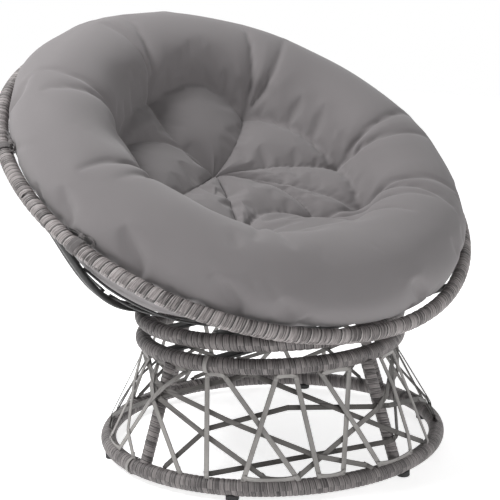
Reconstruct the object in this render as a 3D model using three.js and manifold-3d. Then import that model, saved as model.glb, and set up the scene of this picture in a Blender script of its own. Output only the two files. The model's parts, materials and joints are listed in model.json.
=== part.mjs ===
// Swivel papasan chair: a round tufted cushion in a tilted bowl of steel ribs
// and wire, on a ring that turns over a wicker-wrapped drum base.
// Millimetres, +Z up, the sitter faces -Y. The origin ends up under the middle
// of the chair, on the floor.
import * as THREE from 'three';
import { mergeVertices } from 'three/addons/utils/BufferGeometryUtils.js';
import Module from 'manifold-3d';

const wasm = await Module();
wasm.setup();

const { cos, sin, sqrt, abs, min, max, hypot, atan2, PI } = Math;
const rad = THREE.MathUtils.degToRad;
const X = new THREE.Vector3(1, 0, 0);
const Y = new THREE.Vector3(0, 1, 0);
const Z = new THREE.Vector3(0, 0, 1);

// Base drum: three wrapped rings, all centred on the swivel axis.
const ringTube = 16;
const bottomRingRadius = 351;
const topRingRadius = 269;
const footHeight = 8;
const topRingHeight = 238;
const supportRingRadius = 269;
const supportRingHeight = topRingHeight + 46;
const baseTurn = 4.1;

// Bowl rim: a wrapped hoop in two halves, tilted back.
const rimRadius = 510;
const rimTube = 15;
const rimTilt = 31.8;
const rimSetBack = 84;
const rimHeight = supportRingHeight + 291;
const seamGap = 4;

// Clearances: seat between pieces that touch, and the turning clearance.
const seat = 0.3;
const runningGap = 0.5;
const overrun = 5;

const ringSteps = 44;
const ringSides = 10;

// Colours, roughness and metalness as the chair shows them.
function finish(color, roughness, metalness) {
  return new THREE.MeshStandardMaterial({ color, roughness, metalness });
}
const rattan = () => finish(0x5a5556, 0.55, 0);
const wicker = () => finish(0x77736f, 0.5, 0);
const steel = () => finish(0x232325, 0.45, 0.6);
const zinc = () => finish(0x8d9092, 0.35, 0.9);
const plastic = () => finish(0x18181a, 0.6, 0);
const cloth = () => finish(0x848182, 0.95, 0);

function piece(name, geometry, material) {
  const mesh = new THREE.Mesh(geometry, material);
  mesh.name = name;
  return mesh;
}

// Closed surface from rows of points: a fan closes each end on its row's middle.
function skin(rows) {
  const sides = rows[0].length;
  const points = rows.flat();
  const middle = (row) => row.reduce((sum, p) => sum.add(p), new THREE.Vector3())
    .divideScalar(row.length);
  const first = points.push(middle(rows[0])) - 1;
  const last = points.push(middle(rows[rows.length - 1])) - 1;
  const index = [];
  for (let i = 0; i < rows.length - 1; i++) {
    for (let j = 0; j < sides; j++) {
      const a = i * sides + j;
      const b = i * sides + (j + 1) % sides;
      index.push(a, b, a + sides, b, b + sides, a + sides);
    }
  }
  const end = (rows.length - 1) * sides;
  for (let j = 0; j < sides; j++) {
    const k = (j + 1) % sides;
    index.push(first, k, j, last, end + j, end + k);
  }
  const geometry = new THREE.BufferGeometry().setFromPoints(points);
  geometry.setIndex(index);
  geometry.computeVertexNormals();
  return geometry;
}

// Outline of a round section: unit circle, scaled by a station's own radius.
function roundSection(sides, start = 0) {
  return Array.from({ length: sides }, (_, k) => {
    const a = start + 2 * PI * k / sides;
    return [cos(a), sin(a)];
  });
}

// Carries a section along stations {point, along, side, scale}.
function sweep(stations, section) {
  return skin(stations.map(({ point, along, side, scale = 1 }) => {
    const s = side.clone().addScaledVector(along, -side.dot(along)).normalize();
    const up = along.clone().cross(s);
    return section.map(([x, y]) => point.clone()
      .addScaledVector(s, x * scale).addScaledVector(up, y * scale));
  }));
}

// Stations on a line of points, each square to the mean of its two steps.
function stationsOn(points, side, scale) {
  return points.map((point, i) => {
    const before = points[max(i - 1, 0)];
    const after = points[min(i + 1, points.length - 1)];
    const along = after.clone().sub(before).normalize();
    return { point, along, side: side(point, i), scale };
  });
}

// Solids for cutting and joining.
function solid(geometry) {
  const bare = geometry.clone();
  bare.deleteAttribute('normal');
  bare.deleteAttribute('uv');
  const merged = mergeVertices(bare, 1e-4);
  return new wasm.Manifold(new wasm.Mesh({
    numProp: 3,
    vertProperties: Float32Array.from(merged.attributes.position.array),
    triVerts: Uint32Array.from(merged.index.array),
  }));
}

function shape(body) {
  const mesh = body.getMesh();
  const geometry = new THREE.BufferGeometry();
  geometry.setAttribute('position', new THREE.BufferAttribute(mesh.vertProperties, 3));
  geometry.setIndex(new THREE.BufferAttribute(mesh.triVerts, 1));
  geometry.computeVertexNormals();
  return geometry;
}

function cut(geometry, ...tools) {
  return shape(tools.reduce((body, tool) => body.subtract(solid(tool)), solid(geometry)));
}

function revolve(profile, steps) {
  const points = profile.map(([r, z]) => new THREE.Vector2(r, z));
  return new THREE.LatheGeometry(points, steps).rotateX(PI / 2);
}

// Wrapped rings of the drum.
const bottomRingHeight = footHeight + ringTube;

function hoop(radius, height, grown = 0) {
  return new THREE.TorusGeometry(radius, ringTube + grown, ringSides, ringSteps)
    .translate(0, 0, height);
}
const bottomRing = (grown) => hoop(bottomRingRadius, bottomRingHeight, grown);
const topRing = (grown) => hoop(topRingRadius, topRingHeight, grown);
const supportRing = (grown) => hoop(supportRingRadius, supportRingHeight, grown);

// Legs: wrapped tubes from ring to ring, mouthed to both.
const legTube = 12;
const legSides = 10;
const legCount = 4;

function legLine(angle) {
  const out = new THREE.Vector3(cos(angle), sin(angle), 0);
  const foot = out.clone().multiplyScalar(bottomRingRadius).addScaledVector(Z, bottomRingHeight);
  const head = out.clone().multiplyScalar(topRingRadius).addScaledVector(Z, topRingHeight);
  return { foot, head, out };
}

function leg(angle) {
  const { foot, head } = legLine(angle);
  const side = Z.clone().cross(head.clone().sub(foot)).normalize();
  const bar = sweep(stationsOn([foot, head], () => side, legTube), roundSection(legSides));
  return cut(bar, bottomRing(seat), topRing(seat));
}

// Feet: low plastic glides, cupped to the bottom ring.
const footRadius = 13;
const footCup = 5;
const footCount = 6;
const footTurn = 33.5;
const footSteps = 12;
const footBevel = 1.5;

function foot(angle) {
  const top = footHeight + footCup;
  const disc = revolve([[0, 0], [footRadius - footBevel, 0], [footRadius, footBevel],
    [footRadius, top], [0, top]], footSteps);
  disc.translate(bottomRingRadius * cos(angle), bottomRingRadius * sin(angle), 0);
  return cut(disc, bottomRing(seat));
}

// Cross bars: two flat steel bars under each plate, mouthed to their ring.
const barWidth = 30;
const barThick = 6;
const barApart = 120;
const lowerBarDrop = 3;
const upperBarDrop = 14;
const lowerBarTop = topRingHeight - lowerBarDrop;
const upperBarBottom = supportRingHeight - upperBarDrop;

function crossBar(y, bottom, radius, ring) {
  const reach = sqrt(radius * radius - y * y);
  const bar = new THREE.BoxGeometry(2 * reach, barWidth, barThick);
  bar.translate(0, y, bottom + barThick / 2);
  return cut(bar, ring(seat));
}

// Swivel: two pressed plates with a bearing ring between them on a king pin.
const plateSize = 170;
const plateThick = 4;
const dishOuter = 60;
const dishInner = 30;
const bearingOuter = 56;
const bearingInner = 34;
const bearingThick = 6;
const lowerDish = 9;
const pinRadius = 8;
const pinHeadRadius = 14;
const pinHeadThick = 6;
const turnSteps = 24;
const lowerPlateBottom = lowerBarTop + seat;
const lowerDishTop = lowerPlateBottom + plateThick + lowerDish;
const bearingBottom = lowerDishTop + seat;
const bearingTop = bearingBottom + bearingThick;
const upperPlateTop = upperBarBottom - seat;
const upperPlateBottom = upperPlateTop - plateThick;

function tubeWall(inner, outer, bottom, top) {
  return revolve([[inner, bottom], [outer, bottom], [outer, top], [inner, top],
    [inner, bottom]], turnSteps);
}

function swivelPlate(bottom, dishBottom, dishTop, boreRadius) {
  const square = new THREE.BoxGeometry(plateSize, plateSize, plateThick);
  square.translate(0, 0, bottom + plateThick / 2);
  const dish = tubeWall(dishInner, dishOuter, dishBottom, dishTop);
  const bore = new THREE.CylinderGeometry(boreRadius, boreRadius, plateThick + 2 * overrun, turnSteps);
  bore.rotateX(PI / 2).translate(0, 0, bottom + plateThick / 2);
  return shape(solid(square).add(solid(dish)).subtract(solid(bore)));
}

function lowerPlate() {
  return swivelPlate(lowerPlateBottom, lowerPlateBottom, lowerDishTop, pinRadius + seat);
}

function upperPlate() {
  return swivelPlate(upperPlateBottom, bearingTop + seat, upperPlateTop, pinRadius + runningGap);
}

function kingPin() {
  const nutTop = lowerPlateBottom - seat;
  const headBottom = upperPlateTop + seat;
  return revolve([[0, nutTop - pinHeadThick], [pinHeadRadius, nutTop - pinHeadThick],
    [pinHeadRadius, nutTop], [pinRadius, nutTop], [pinRadius, headBottom],
    [pinHeadRadius, headBottom], [pinHeadRadius, headBottom + pinHeadThick],
    [0, headBottom + pinHeadThick]], turnSteps);
}

// Web: flat wicker strips stretched over the legs from ring to ring. Each strip
// is laid over those before it, so it rides over every one that it crosses.
// A knot is [angle, share of the height]; angles count from the first strip.
const stripWidth = 10;
const stripThick = 1.6;
const layerStep = 2.6;
const layerStart = -6;
const turnReach = 18;
const sampleStep = 3;
const pullPasses = 3;
const endSteps = 3;
const probe = 3.5;
const straightness = 0.55;
const webTurn = -133.5;
const webSides = { front: 0, rear: 180 };
const stripOver = 2.5;
const rideGap = 1;
const stripCorner = stripWidth / 2 + rideGap;
const webLow = footHeight + 2 * ringTube + stripCorner;
const webHigh = topRingHeight - ringTube - stripCorner;
const archShares = [0.2, 0.35, 0.57, 0.68, 0.44];
const knotShares = [
  [[-20, 0], [43.5, archShares[0]], [100, 1], [108, 1], [86, 0], [100, 0],
    [75, archShares[1]], [43.5, archShares[2]], [6, archShares[3]], [-24, archShares[4]], [-37, 0]],
  [[60, 0], [-5, 1], [-13, 1], [-94, 0], [-86, 0], [-101, 1]],
  [[73, 1], [8, 0], [-3, 0], [-70, 1], [-79, 1], [31, 0]],
  [[-31, 0], [-57, 1], [-38, 1], [-61, 0], [-72, 0], [-64, 1], [-78, 1], [-52, 0]],
  [[-21, 0], [-27, 1], [-19, 1], [7, 0], [-9, 0], [2, 1], [10, 1], [14, 0], [22, 0],
    [34, 1], [21, 1], [35, 0], [50, 0], [54, 1], [66, 1], [62, 0]],
];

// The drum's skin: the cone from ring to ring that the strips are drawn over.
function skinRadius(z) {
  const rise = (z - webLow) / (webHigh - webLow);
  return bottomRingRadius + rise * (topRingRadius - bottomRingRadius);
}

function skinNormal(p) {
  const lean = (bottomRingRadius - topRingRadius) / (webHigh - webLow);
  return new THREE.Vector3(p.x, p.y, 0).normalize().setZ(lean).normalize();
}

// Place on the drum: angle round it, height, and how far proud of the skin.
function place(p) {
  const radius = hypot(p.x, p.y);
  return { angle: atan2(p.y, p.x), radius, z: p.z, proud: radius - skinRadius(p.z) };
}

function turnBetween(a, b) {
  return atan2(sin(a - b), cos(a - b));
}

function knotPoint([turn, share], layer, angleShift) {
  const z = webLow + share * (webHigh - webLow);
  const radius = skinRadius(z) + layerStart + layer * layerStep;
  const angle = rad(turn + webTurn + angleShift);
  return new THREE.Vector3(radius * cos(angle), radius * sin(angle), z);
}

// Laid places are kept in bands by height, so a search looks at few of them.
const bandOf = (z) => Math.floor(z / probe);

function addLaid(bands, places) {
  for (const o of places) {
    const key = bandOf(o.z);
    if (!bands.has(key)) bands.set(key, []);
    bands.get(key).push(o);
  }
}

// How far proud a strip has to stand at a place to clear what lies under it.
function neededProud(here, bands, within, skip = () => false) {
  let need = -Infinity;
  const rise = (here.z - bottomRingHeight) / (topRingHeight - bottomRingHeight);
  const legRadius = bottomRingRadius + rise * (topRingRadius - bottomRingRadius);
  for (let k = 0; k < legCount; k++) {
    const aside = abs(turnBetween(here.angle, k * 2 * PI / legCount)) * legRadius;
    if (aside < legTube + rideGap) {
      need = max(need, legRadius + legTube + rideGap + stripThick - skinRadius(here.z));
    }
  }
  for (let key = bandOf(here.z - within); key <= bandOf(here.z + within); key++) {
    for (const other of bands.get(key) ?? []) {
      const aside = turnBetween(other.angle, here.angle) * here.radius;
      if (hypot(aside, other.z - here.z) > within || skip(other)) continue;
      need = max(need, other.proud + stripThick + rideGap);
    }
  }
  return need;
}

// Upper hull of [place, height] pairs, in order of place: a taut line over them.
function tautOver(pairs) {
  const hull = [];
  for (const c of pairs) {
    while (hull.length > 1) {
      const [a, b] = hull.slice(-2);
      if ((b[0] - a[0]) * (c[1] - a[1]) < (c[0] - a[0]) * (b[1] - a[1])) break;
      hull.pop();
    }
    hull.push(c);
  }
  return hull;
}

function heightOn(hull, at) {
  const k = hull.findIndex(([x]) => x >= at);
  if (k < 1) return 0;
  const [[x0, y0], [x1, y1]] = [hull[k - 1], hull[k]];
  return y0 + (y1 - y0) * (at - x0) / (x1 - x0);
}

// One straight pull between two knots, lifted taut over all that it crosses.
function pull(from, to, laid, own) {
  const span = to.clone().sub(from);
  const middle = from.clone().lerp(to, 0.5);
  const outward = new THREE.Vector3(middle.x, middle.y, 0).normalize();
  const side = span.clone().cross(skinNormal(middle)).normalize();
  const steps = max(2, Math.round(span.length() / sampleStep));
  const at = (i, hull) => from.clone().addScaledVector(span, i / steps)
    .addScaledVector(outward, heightOn(hull, i));
  const across = (i, hull) => [-1, 0, 1].map(
    (k) => place(at(i, hull).addScaledVector(side, k * stripWidth / 2)));
  const over = stripOver / sampleStep;
  const ends = [[0, 0], [steps, 0]];
  const start = place(from);
  const atTurn = (o) => hypot(
    turnBetween(o.angle, start.angle) * start.radius, o.z - start.z) < turnReach;
  let hull = ends;
  for (let pass = 0; pass < pullPasses; pass++) {
    const pairs = [ends[0]];
    for (let i = endSteps; i <= steps - endSteps; i++) {
      const need = max(...across(i, hull).map((here) => max(
        neededProud(here, laid, probe), neededProud(here, own, probe, atTurn)) - here.proud));
      const square = outward.dot(at(i, hull).setZ(0).normalize());
      if (need > -Infinity) pairs.push([i, heightOn(hull, i) + need / square]);
    }
    hull = tautOver([...pairs, ends[1]]);
  }
  hull = [[-over, 0], ...hull, [steps + over, 0]];
  const places = Array.from({ length: steps + 1 }, (_, i) => across(i, hull)).flat();
  return { points: straightened(hull.map(([i]) => at(i, hull))), side, places };
}

// Drops the points of a line that lie within the straightness of their chord.
function straightened(line) {
  if (line.length < 3) return line;
  const chord = new THREE.Line3(line[0], line[line.length - 1]);
  const foot = new THREE.Vector3();
  const gaps = line.map((p) => chord.closestPointToPoint(p, true, foot).distanceTo(p));
  const worst = max(...gaps);
  if (worst < straightness) return [line[0], line[line.length - 1]];
  const at = gaps.indexOf(worst);
  return straightened(line.slice(0, at + 1)).concat(straightened(line.slice(at)).slice(1));
}

// A strip: its pulls from knot to knot, joined where it turns on a ring.
function webStrip(knots, layer, angleShift, laid) {
  const points = knots.map((knot) => {
    const p = knotPoint(knot, layer, angleShift);
    const here = place(p);
    const rise = max(0, neededProud(here, laid, stripWidth) - here.proud);
    return p.addScaledVector(p.clone().setZ(0).normalize(), rise);
  });
  const flat = [[-1, -1], [1, -1], [1, 1], [-1, 1]]
    .map(([x, y]) => [x * stripWidth / 2, y * stripThick / 2]);
  const own = new Map();
  let body = null;
  for (let i = 1; i < points.length; i++) {
    const run = pull(points[i - 1], points[i], laid, own);
    addLaid(own, run.places);
    const bar = solid(sweep(stationsOn(run.points, () => run.side, 1), flat));
    body = body ? body.add(bar) : bar;
  }
  for (const places of own.values()) addLaid(laid, places);
  return shape(body);
}

function webStrips() {
  const laid = new Map();
  return knotShares.flatMap((knots, layer) => Object.entries(webSides).map(([name, turn]) => piece(
    `web_strip_${name}_${layer + 1}`, webStrip(knots, layer, turn, laid), wicker())));
}

// Bowl frame. The rim's own directions: across, up its slope, and out of it.
const tilt = rad(rimTilt);
const rimUp = new THREE.Vector3(0, cos(tilt), sin(tilt));
const rimOut = new THREE.Vector3(0, -sin(tilt), cos(tilt));
const rimMiddle = new THREE.Vector3(0, rimSetBack, rimHeight);

function rimPoint(phi, radius = rimRadius) {
  return rimMiddle.clone().addScaledVector(X, radius * cos(phi))
    .addScaledVector(rimUp, radius * sin(phi));
}

// Half of the rim: a tube with a blind socket in each end for its spigot.
const rimSides = 10;
const rimHalfSteps = 27;
const spigotRadius = 9;
const spigotDepth = 24;

function rimAngle(from, step) {
  const gapAngle = seamGap / 2 / rimRadius;
  return from + gapAngle + (PI - 2 * gapAngle) * step / rimHalfSteps;
}

// A cutting shape runs on across the seam at both of its ends.
function pastEnds(stations) {
  const move = (s, d) => ({ ...s, point: s.point.clone().addScaledVector(s.along, d) });
  return [move(stations[0], -seamGap), ...stations, move(stations[stations.length - 1], seamGap)];
}

function rimHalf(from, grown = 0) {
  const stations = [];
  for (let i = 0; i <= rimHalfSteps; i++) {
    const phi = rimAngle(from, i);
    const along = rimUp.clone().multiplyScalar(cos(phi)).addScaledVector(X, -sin(phi));
    stations.push({ point: rimPoint(phi), along, side: rimOut, scale: rimTube + grown });
  }
  if (grown) return sweep(pastEnds(stations), roundSection(rimSides));
  const start = stations[0];
  const end = stations[stations.length - 1];
  const bore = spigotRadius + seat;
  const deep = (s, way) => ({
    ...s, scale: bore, point: s.point.clone().addScaledVector(s.along, way * spigotDepth),
  });
  const whole = [deep(start, 1), { ...start, scale: bore }, ...stations,
    { ...end, scale: bore }, deep(end, -1)];
  return sweep(whole, roundSection(rimSides));
}

function rimSpigot(phi) {
  const reach = spigotDepth - seat + seamGap / 2;
  const middle = rimPoint(phi);
  const ends = [-reach, reach].map((d) => middle.clone().addScaledVector(rimUp, d));
  return sweep(stationsOn(ends, () => rimOut, spigotRadius), roundSection(rimSides));
}

// Hub: the small hoop that the ribs run to, in two halves like the rim.
const hubRadius = 62;
const hubTube = 8;
const hubSetBack = 165;
const hubHeight = supportRingHeight + 15;
const hubSides = 8;
const hubHalfSteps = 10;
const hubMiddle = new THREE.Vector3(0, hubSetBack, hubHeight);

function hubPoint(phi, radius = hubRadius) {
  return hubMiddle.clone().addScaledVector(X, radius * cos(phi)).addScaledVector(Y, radius * sin(phi));
}

function hubHalf(from, grown = 0) {
  const gapAngle = seamGap / 2 / hubRadius;
  const stations = [];
  for (let i = 0; i <= hubHalfSteps; i++) {
    const phi = from + gapAngle + (PI - 2 * gapAngle) * i / hubHalfSteps;
    const along = new THREE.Vector3(-sin(phi), cos(phi), 0);
    stations.push({ point: hubPoint(phi), along, side: Z, scale: hubTube + grown });
  }
  return sweep(grown ? pastEnds(stations) : stations, roundSection(hubSides));
}

// Ribs: each leaves the rim steeply, rests on the support ring and runs level
// to the hub, in one upright plane.
const ribTube = 7;
const ribSides = 6;
const ribSteps = 16;
const pairApart = 24;
const frontDrop = 10;
const backDrop = 90;
const seatDrop = 8;
const pullShare = 0.4;
const fineSteps = 24;

function ringSeat(from, to) {
  const run = to.clone().sub(from).setZ(0);
  const a = run.lengthSq();
  const b = 2 * (from.x * run.x + from.y * run.y);
  const c = from.x * from.x + from.y * from.y - supportRingRadius * supportRingRadius;
  const t = (-b - sqrt(b * b - 4 * a * c)) / (2 * a);
  return from.clone().addScaledVector(run, t).setZ(supportRingHeight + ringTube + ribTube + seat);
}

function gapToRing(p) {
  return hypot(hypot(p.x, p.y) - supportRingRadius, p.z - supportRingHeight)
    - ringTube - ribTube - seat;
}

const ribCache = new Map();

function ribLine(phi) {
  const key = phi.toFixed(6);
  if (ribCache.has(key)) return ribCache.get(key);
  const top = rimPoint(phi);
  const low = hubPoint(phi);
  const level = low.clone().sub(top).setZ(0).normalize();
  const heading = (drop) => level.clone().multiplyScalar(cos(drop)).addScaledVector(Z, -sin(drop));
  const share = (1 + sin(phi)) / 2;
  const leave = heading(rad(frontDrop + share * (backDrop - frontDrop)));
  const pass = heading(rad(seatDrop));
  const rest = ringSeat(top, low);
  let line = [];
  for (let tries = 0; tries < 6; tries++) {
    const upper = pullShare * top.distanceTo(rest);
    const lower = pullShare * rest.distanceTo(low);
    const wall = new THREE.CubicBezierCurve3(top, top.clone().addScaledVector(leave, upper),
      rest.clone().addScaledVector(pass, -upper), rest.clone());
    const floor = new THREE.CubicBezierCurve3(rest.clone(), rest.clone().addScaledVector(pass, lower),
      low.clone().addScaledVector(level, -lower), low);
    line = wall.getPoints(fineSteps).concat(floor.getPoints(fineSteps).slice(1));
    const sunk = -min(...line.map(gapToRing));
    rest.z += sunk;
  }
  const runs = [0];
  for (let i = 1; i < line.length; i++) runs.push(runs[i - 1] + line[i].distanceTo(line[i - 1]));
  ribCache.set(key, { line, runs });
  return ribCache.get(key);
}

// Point of the bowl's surface: phi picks the rib line, share runs rim to hub.
function bowlPoint(phi, share) {
  const { line, runs } = ribLine(phi);
  const run = share * runs[runs.length - 1];
  let i = 1;
  while (i < runs.length - 1 && runs[i] < run) i++;
  const t = (run - runs[i - 1]) / (runs[i] - runs[i - 1]);
  return line[i - 1].clone().lerp(line[i], t);
}

// Direction square to the bowl, into the sitter's side.
function bowlInward(phi, share) {
  const nudge = 0.01;
  const s0 = max(share - nudge, 0);
  const s1 = min(share + nudge, 1);
  const down = bowlPoint(phi, s1).sub(bowlPoint(phi, s0));
  const round = bowlPoint(phi + nudge, share).sub(bowlPoint(phi - nudge, share));
  const inward = down.cross(round).normalize();
  return inward.dot(Z) < 0 ? inward.negate() : inward;
}

// Angle that sets a rib of a pair beside the seam, the same way off all along.
function pairAngle(share) {
  const width = rimRadius + (hubRadius - rimRadius) * share;
  return pairApart / 2 / width;
}

function rib(phi, pairSide) {
  const points = [];
  for (let i = 0; i <= ribSteps; i++) {
    const share = i / ribSteps;
    const turn = pairSide * pairAngle(share);
    points.push(bowlPoint(phi + turn, share));
  }
  const side = () => new THREE.Vector3(-sin(phi), cos(phi), 0);
  const bar = sweep(stationsOn(points, side, ribTube), roundSection(ribSides, PI / 2));
  return cut(bar, ...[0, PI].flatMap((from) => [rimHalf(from, seat), hubHalf(from, seat)]));
}

// Wires: half hoops laid over the ribs, evenly between rim and hub.
const wireTube = 2.5;
const wireSides = 5;
const wireSteps = 16;
const wireCount = 5;
const wireEnd = 4;
const wireGap = 0.1;
const wireGapGrowth = 0.75;

function wire(from, number) {
  const share = number / (wireCount + 1);
  const width = rimRadius + (hubRadius - rimRadius) * share;
  const inset = (pairApart / 2 - wireEnd) / width;
  const lift = ribTube + wireTube + wireGap + wireGapGrowth * share;
  const inward = (i) => bowlInward(from + inset + (PI - 2 * inset) * i / wireSteps, share);
  const points = Array.from({ length: wireSteps + 1 }, (_, i) => {
    const phi = from + inset + (PI - 2 * inset) * i / wireSteps;
    return bowlPoint(phi, share).addScaledVector(inward(i), lift);
  });
  const stations = stationsOn(points, (p, i) => inward(i), wireTube);
  return sweep(stations, roundSection(wireSides, PI));
}

// Ribbon ties: a band round the rim where the cushion is knotted on, each on
// the straight run between two of the rim's own corners.
const tieLength = 22;
const tieThick = 1.6;
const tieSteps = [2, 24];

function tieBand(from, step) {
  const [start, end] = [step, step + 1].map((i) => rimPoint(rimAngle(from, i)));
  const middle = start.clone().lerp(end, 0.5);
  const along = end.clone().sub(start).normalize();
  const ends = [-1, 1].map((way) => middle.clone().addScaledVector(along, way * tieLength / 2));
  const band = sweep(stationsOn(ends, () => rimOut, rimTube + seat + tieThick), roundSection(rimSides));
  return cut(band, rimHalf(from, seat));
}

// Cushion: a fat roll round a hollow middle, drawn down at nine sewn tufts.
const cushionColumns = 48;
const rollRadius = rimRadius - 137;
const rollTube = 113;
const rollLevel = -5;
const rollBulge = 12;
const tubeBulge = 9;
const rollTurns = [166, 146, 126, 106, 84, 62, 40];
const edgeRadius = rimRadius - 24;
const edgeBulge = 32;
const edgeHeight = 42;
const bulgeTurn = 60;
const tuckRadius = rimRadius - 26;
const tuckHeight = 4;
const middleDepth = 40;
const middleShift = rimRadius * 0.137;
const hollowShares = [0.25, 0.55, 0.8, 1];
const tuftRadius = rollRadius * 0.676;
const tuftTurns = [105, 52, -3, -41, -82, -126, -170, 147];
const tuftDepth = 36;
const tuftSpread = 44;
const tuftLevel = 10;
const creaseDepth = 11;
const creaseSpread = 7;
const underShares = [0.1, 0.17, 0.25, 0.33, 0.5, 0.67, 0.83, 0.92];

// The cushion rests over the ribs and wires; its middle stands off the hub.
const cushionRest = 2.5;
const cushionLift = ribTube + 2 * wireTube + cushionRest;
const cushionOverHub = 45;
const cushionDeepest = rimMiddle.clone().sub(hubMiddle).dot(rimOut) - cushionOverHub;

const bulgeAt = (phi) => max(0, cos(phi - rad(bulgeTurn)));

function creaseAt(phi) {
  const away = (turn) => turnBetween(phi, rad(turn)) / rad(creaseSpread);
  return creaseDepth * max(...tuftTurns.map((turn) => Math.exp(-(away(turn) ** 2))));
}

// Hollow of the cushion, in the rim's plane and over it: share runs from its
// middle to the ring of tufts.
function hollowPoint(phi, share) {
  const shift = middleShift * (1 - share) ** 2;
  const height = tuftLevel - (middleDepth + tuftLevel) * (1 - share * share);
  return { across: tuftRadius * share * cos(phi), up: tuftRadius * share * sin(phi) + shift, height };
}

// The roll: a fat tube round the hollow, met at an angle round its own middle.
function rollPoint(phi, turn) {
  const tube = rollTube + tubeBulge * bulgeAt(phi) - creaseAt(phi);
  const radius = rollRadius + rollBulge * bulgeAt(phi) + tube * cos(rad(turn));
  return { across: radius * cos(phi), up: radius * sin(phi), height: rollLevel + tube * sin(rad(turn)) };
}

// The tufts draw the top down round the places where they are sewn.
function tufted({ across, up, height }) {
  const pulled = (x, y) => {
    const away = hypot(across - x, up - y) / tuftSpread;
    return tuftDepth * Math.exp(-away * away);
  };
  const ring = tuftTurns.map((turn) => pulled(tuftRadius * cos(rad(turn)), tuftRadius * sin(rad(turn))));
  return { across, up, height: height - ring.reduce((a, b) => a + b, pulled(0, middleShift)) };
}

function inRimPlane({ across, up, height }) {
  return rimMiddle.clone().addScaledVector(X, across).addScaledVector(rimUp, up)
    .addScaledVector(rimOut, height);
}

// Side of the cushion: its widest line over the rim, and the tuck inside it.
function sideRows(phis) {
  const row = (radius, height) => phis.map((phi) => inRimPlane({
    across: radius(phi) * cos(phi), up: radius(phi) * sin(phi), height }));
  const widest = (phi) => edgeRadius + edgeBulge * bulgeAt(phi) - creaseAt(phi);
  return [row(widest, edgeHeight), row(() => tuckRadius, tuckHeight)];
}

// Underside: it follows the bowl, and runs flat over the hub.
function underPoint(phi, share) {
  const p = bowlPoint(phi, share).addScaledVector(bowlInward(phi, share), cushionLift);
  const depth = rimMiddle.clone().sub(p).dot(rimOut);
  return p.addScaledVector(rimOut, max(0, depth - cushionDeepest));
}

function cushion() {
  const columns = Array.from({ length: cushionColumns }, (_, j) => 2 * PI * j / cushionColumns);
  const row = (point, at) => columns.map((phi) => inRimPlane(tufted(point(phi, at))));
  const rows = [...hollowShares.map((share) => row(hollowPoint, share)),
    ...rollTurns.map((turn) => row(rollPoint, turn)), ...sideRows(columns)];
  rows.push(...underShares.map((share) => columns.map((phi) => underPoint(phi, share))));
  return skin(rows.reverse());
}

// The chair: what stands, what turns on it, and what lifts off.
const base = new THREE.Group();
base.rotation.z = rad(baseTurn);
base.add(piece('base_bottom_ring', bottomRing(0), rattan()));
base.add(piece('base_top_ring', topRing(0), rattan()));
for (let k = 0; k < legCount; k++) {
  base.add(piece(`base_leg_${k + 1}`, leg(2 * PI * k / legCount), rattan()));
}
for (let k = 0; k < footCount; k++) {
  base.add(piece(`foot_${k + 1}`, foot(rad(footTurn) + 2 * PI * k / footCount), plastic()));
}
base.add(...webStrips());

const sides = { front: -1, rear: 1 };
for (const [name, way] of Object.entries(sides)) {
  const y = way * barApart / 2;
  base.add(piece(`base_crossbar_${name}`,
    crossBar(y, lowerBarTop - barThick, topRingRadius, topRing), steel()));
}
base.add(piece('swivel_lower_plate', lowerPlate(), steel()));
base.add(piece('swivel_bearing_ring',
  tubeWall(bearingInner, bearingOuter, bearingBottom, bearingTop), zinc()));
base.add(piece('swivel_king_pin', kingPin(), zinc()));

const bowl = new THREE.Group();
bowl.add(piece('seat_support_ring', supportRing(0), rattan()));
for (const [name, way] of Object.entries(sides)) {
  bowl.add(piece(`seat_crossbar_${name}`,
    crossBar(way * barApart / 2, upperBarBottom, supportRingRadius, supportRing), steel()));
}
bowl.add(piece('swivel_upper_plate', upperPlate(), steel()));
const halves = { back: 0, front: PI };
for (const [name, from] of Object.entries(halves)) {
  bowl.add(piece(`rim_${name}`, rimHalf(from), rattan()));
  bowl.add(piece(`hub_${name}`, hubHalf(from), steel()));
  bowl.add(piece(`rib_${name}_1`, rib(from + PI / 3, 0), steel()));
  bowl.add(piece(`rib_${name}_2`, rib(from + 2 * PI / 3, 0), steel()));
  bowl.add(piece(`rib_${name}_pair_1`, rib(from, 1), steel()));
  bowl.add(piece(`rib_${name}_pair_2`, rib(from + PI, -1), steel()));
  for (let n = 1; n <= wireCount; n++) {
    bowl.add(piece(`wire_${name}_${n}`, wire(from, n), steel()));
  }
}
bowl.add(piece('rim_spigot_right', rimSpigot(0), steel()));
bowl.add(piece('rim_spigot_left', rimSpigot(PI), steel()));
for (const [name, from] of Object.entries(halves)) {
  tieSteps.forEach((step, k) => bowl.add(piece(`tie_band_${name}_${k + 1}`, tieBand(from, step), cloth())));
}

const chair = new THREE.Group();
chair.add(base, bowl, piece('cushion', cushion(), cloth()));

// The origin goes under the middle of the chair's box.
chair.updateMatrixWorld(true);
const box = new THREE.Box3().setFromObject(chair, true);
chair.position.set(-(box.min.x + box.max.x) / 2, -(box.min.y + box.max.y) / 2, -box.min.z);

export default chair;
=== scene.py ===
# A swivel papasan chair: a tufted cushion in a tilted bowl of steel ribs and
# wire, wound with poly-rattan, on a drum base laced with flat wicker strips.
# Metres, +Z up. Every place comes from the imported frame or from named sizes.
import json
import math
from math import cos, pi, radians, sin

import bmesh
import bpy
import numpy as np
from mathutils import Matrix, Vector
from mathutils.bvhtree import BVHTree


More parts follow.
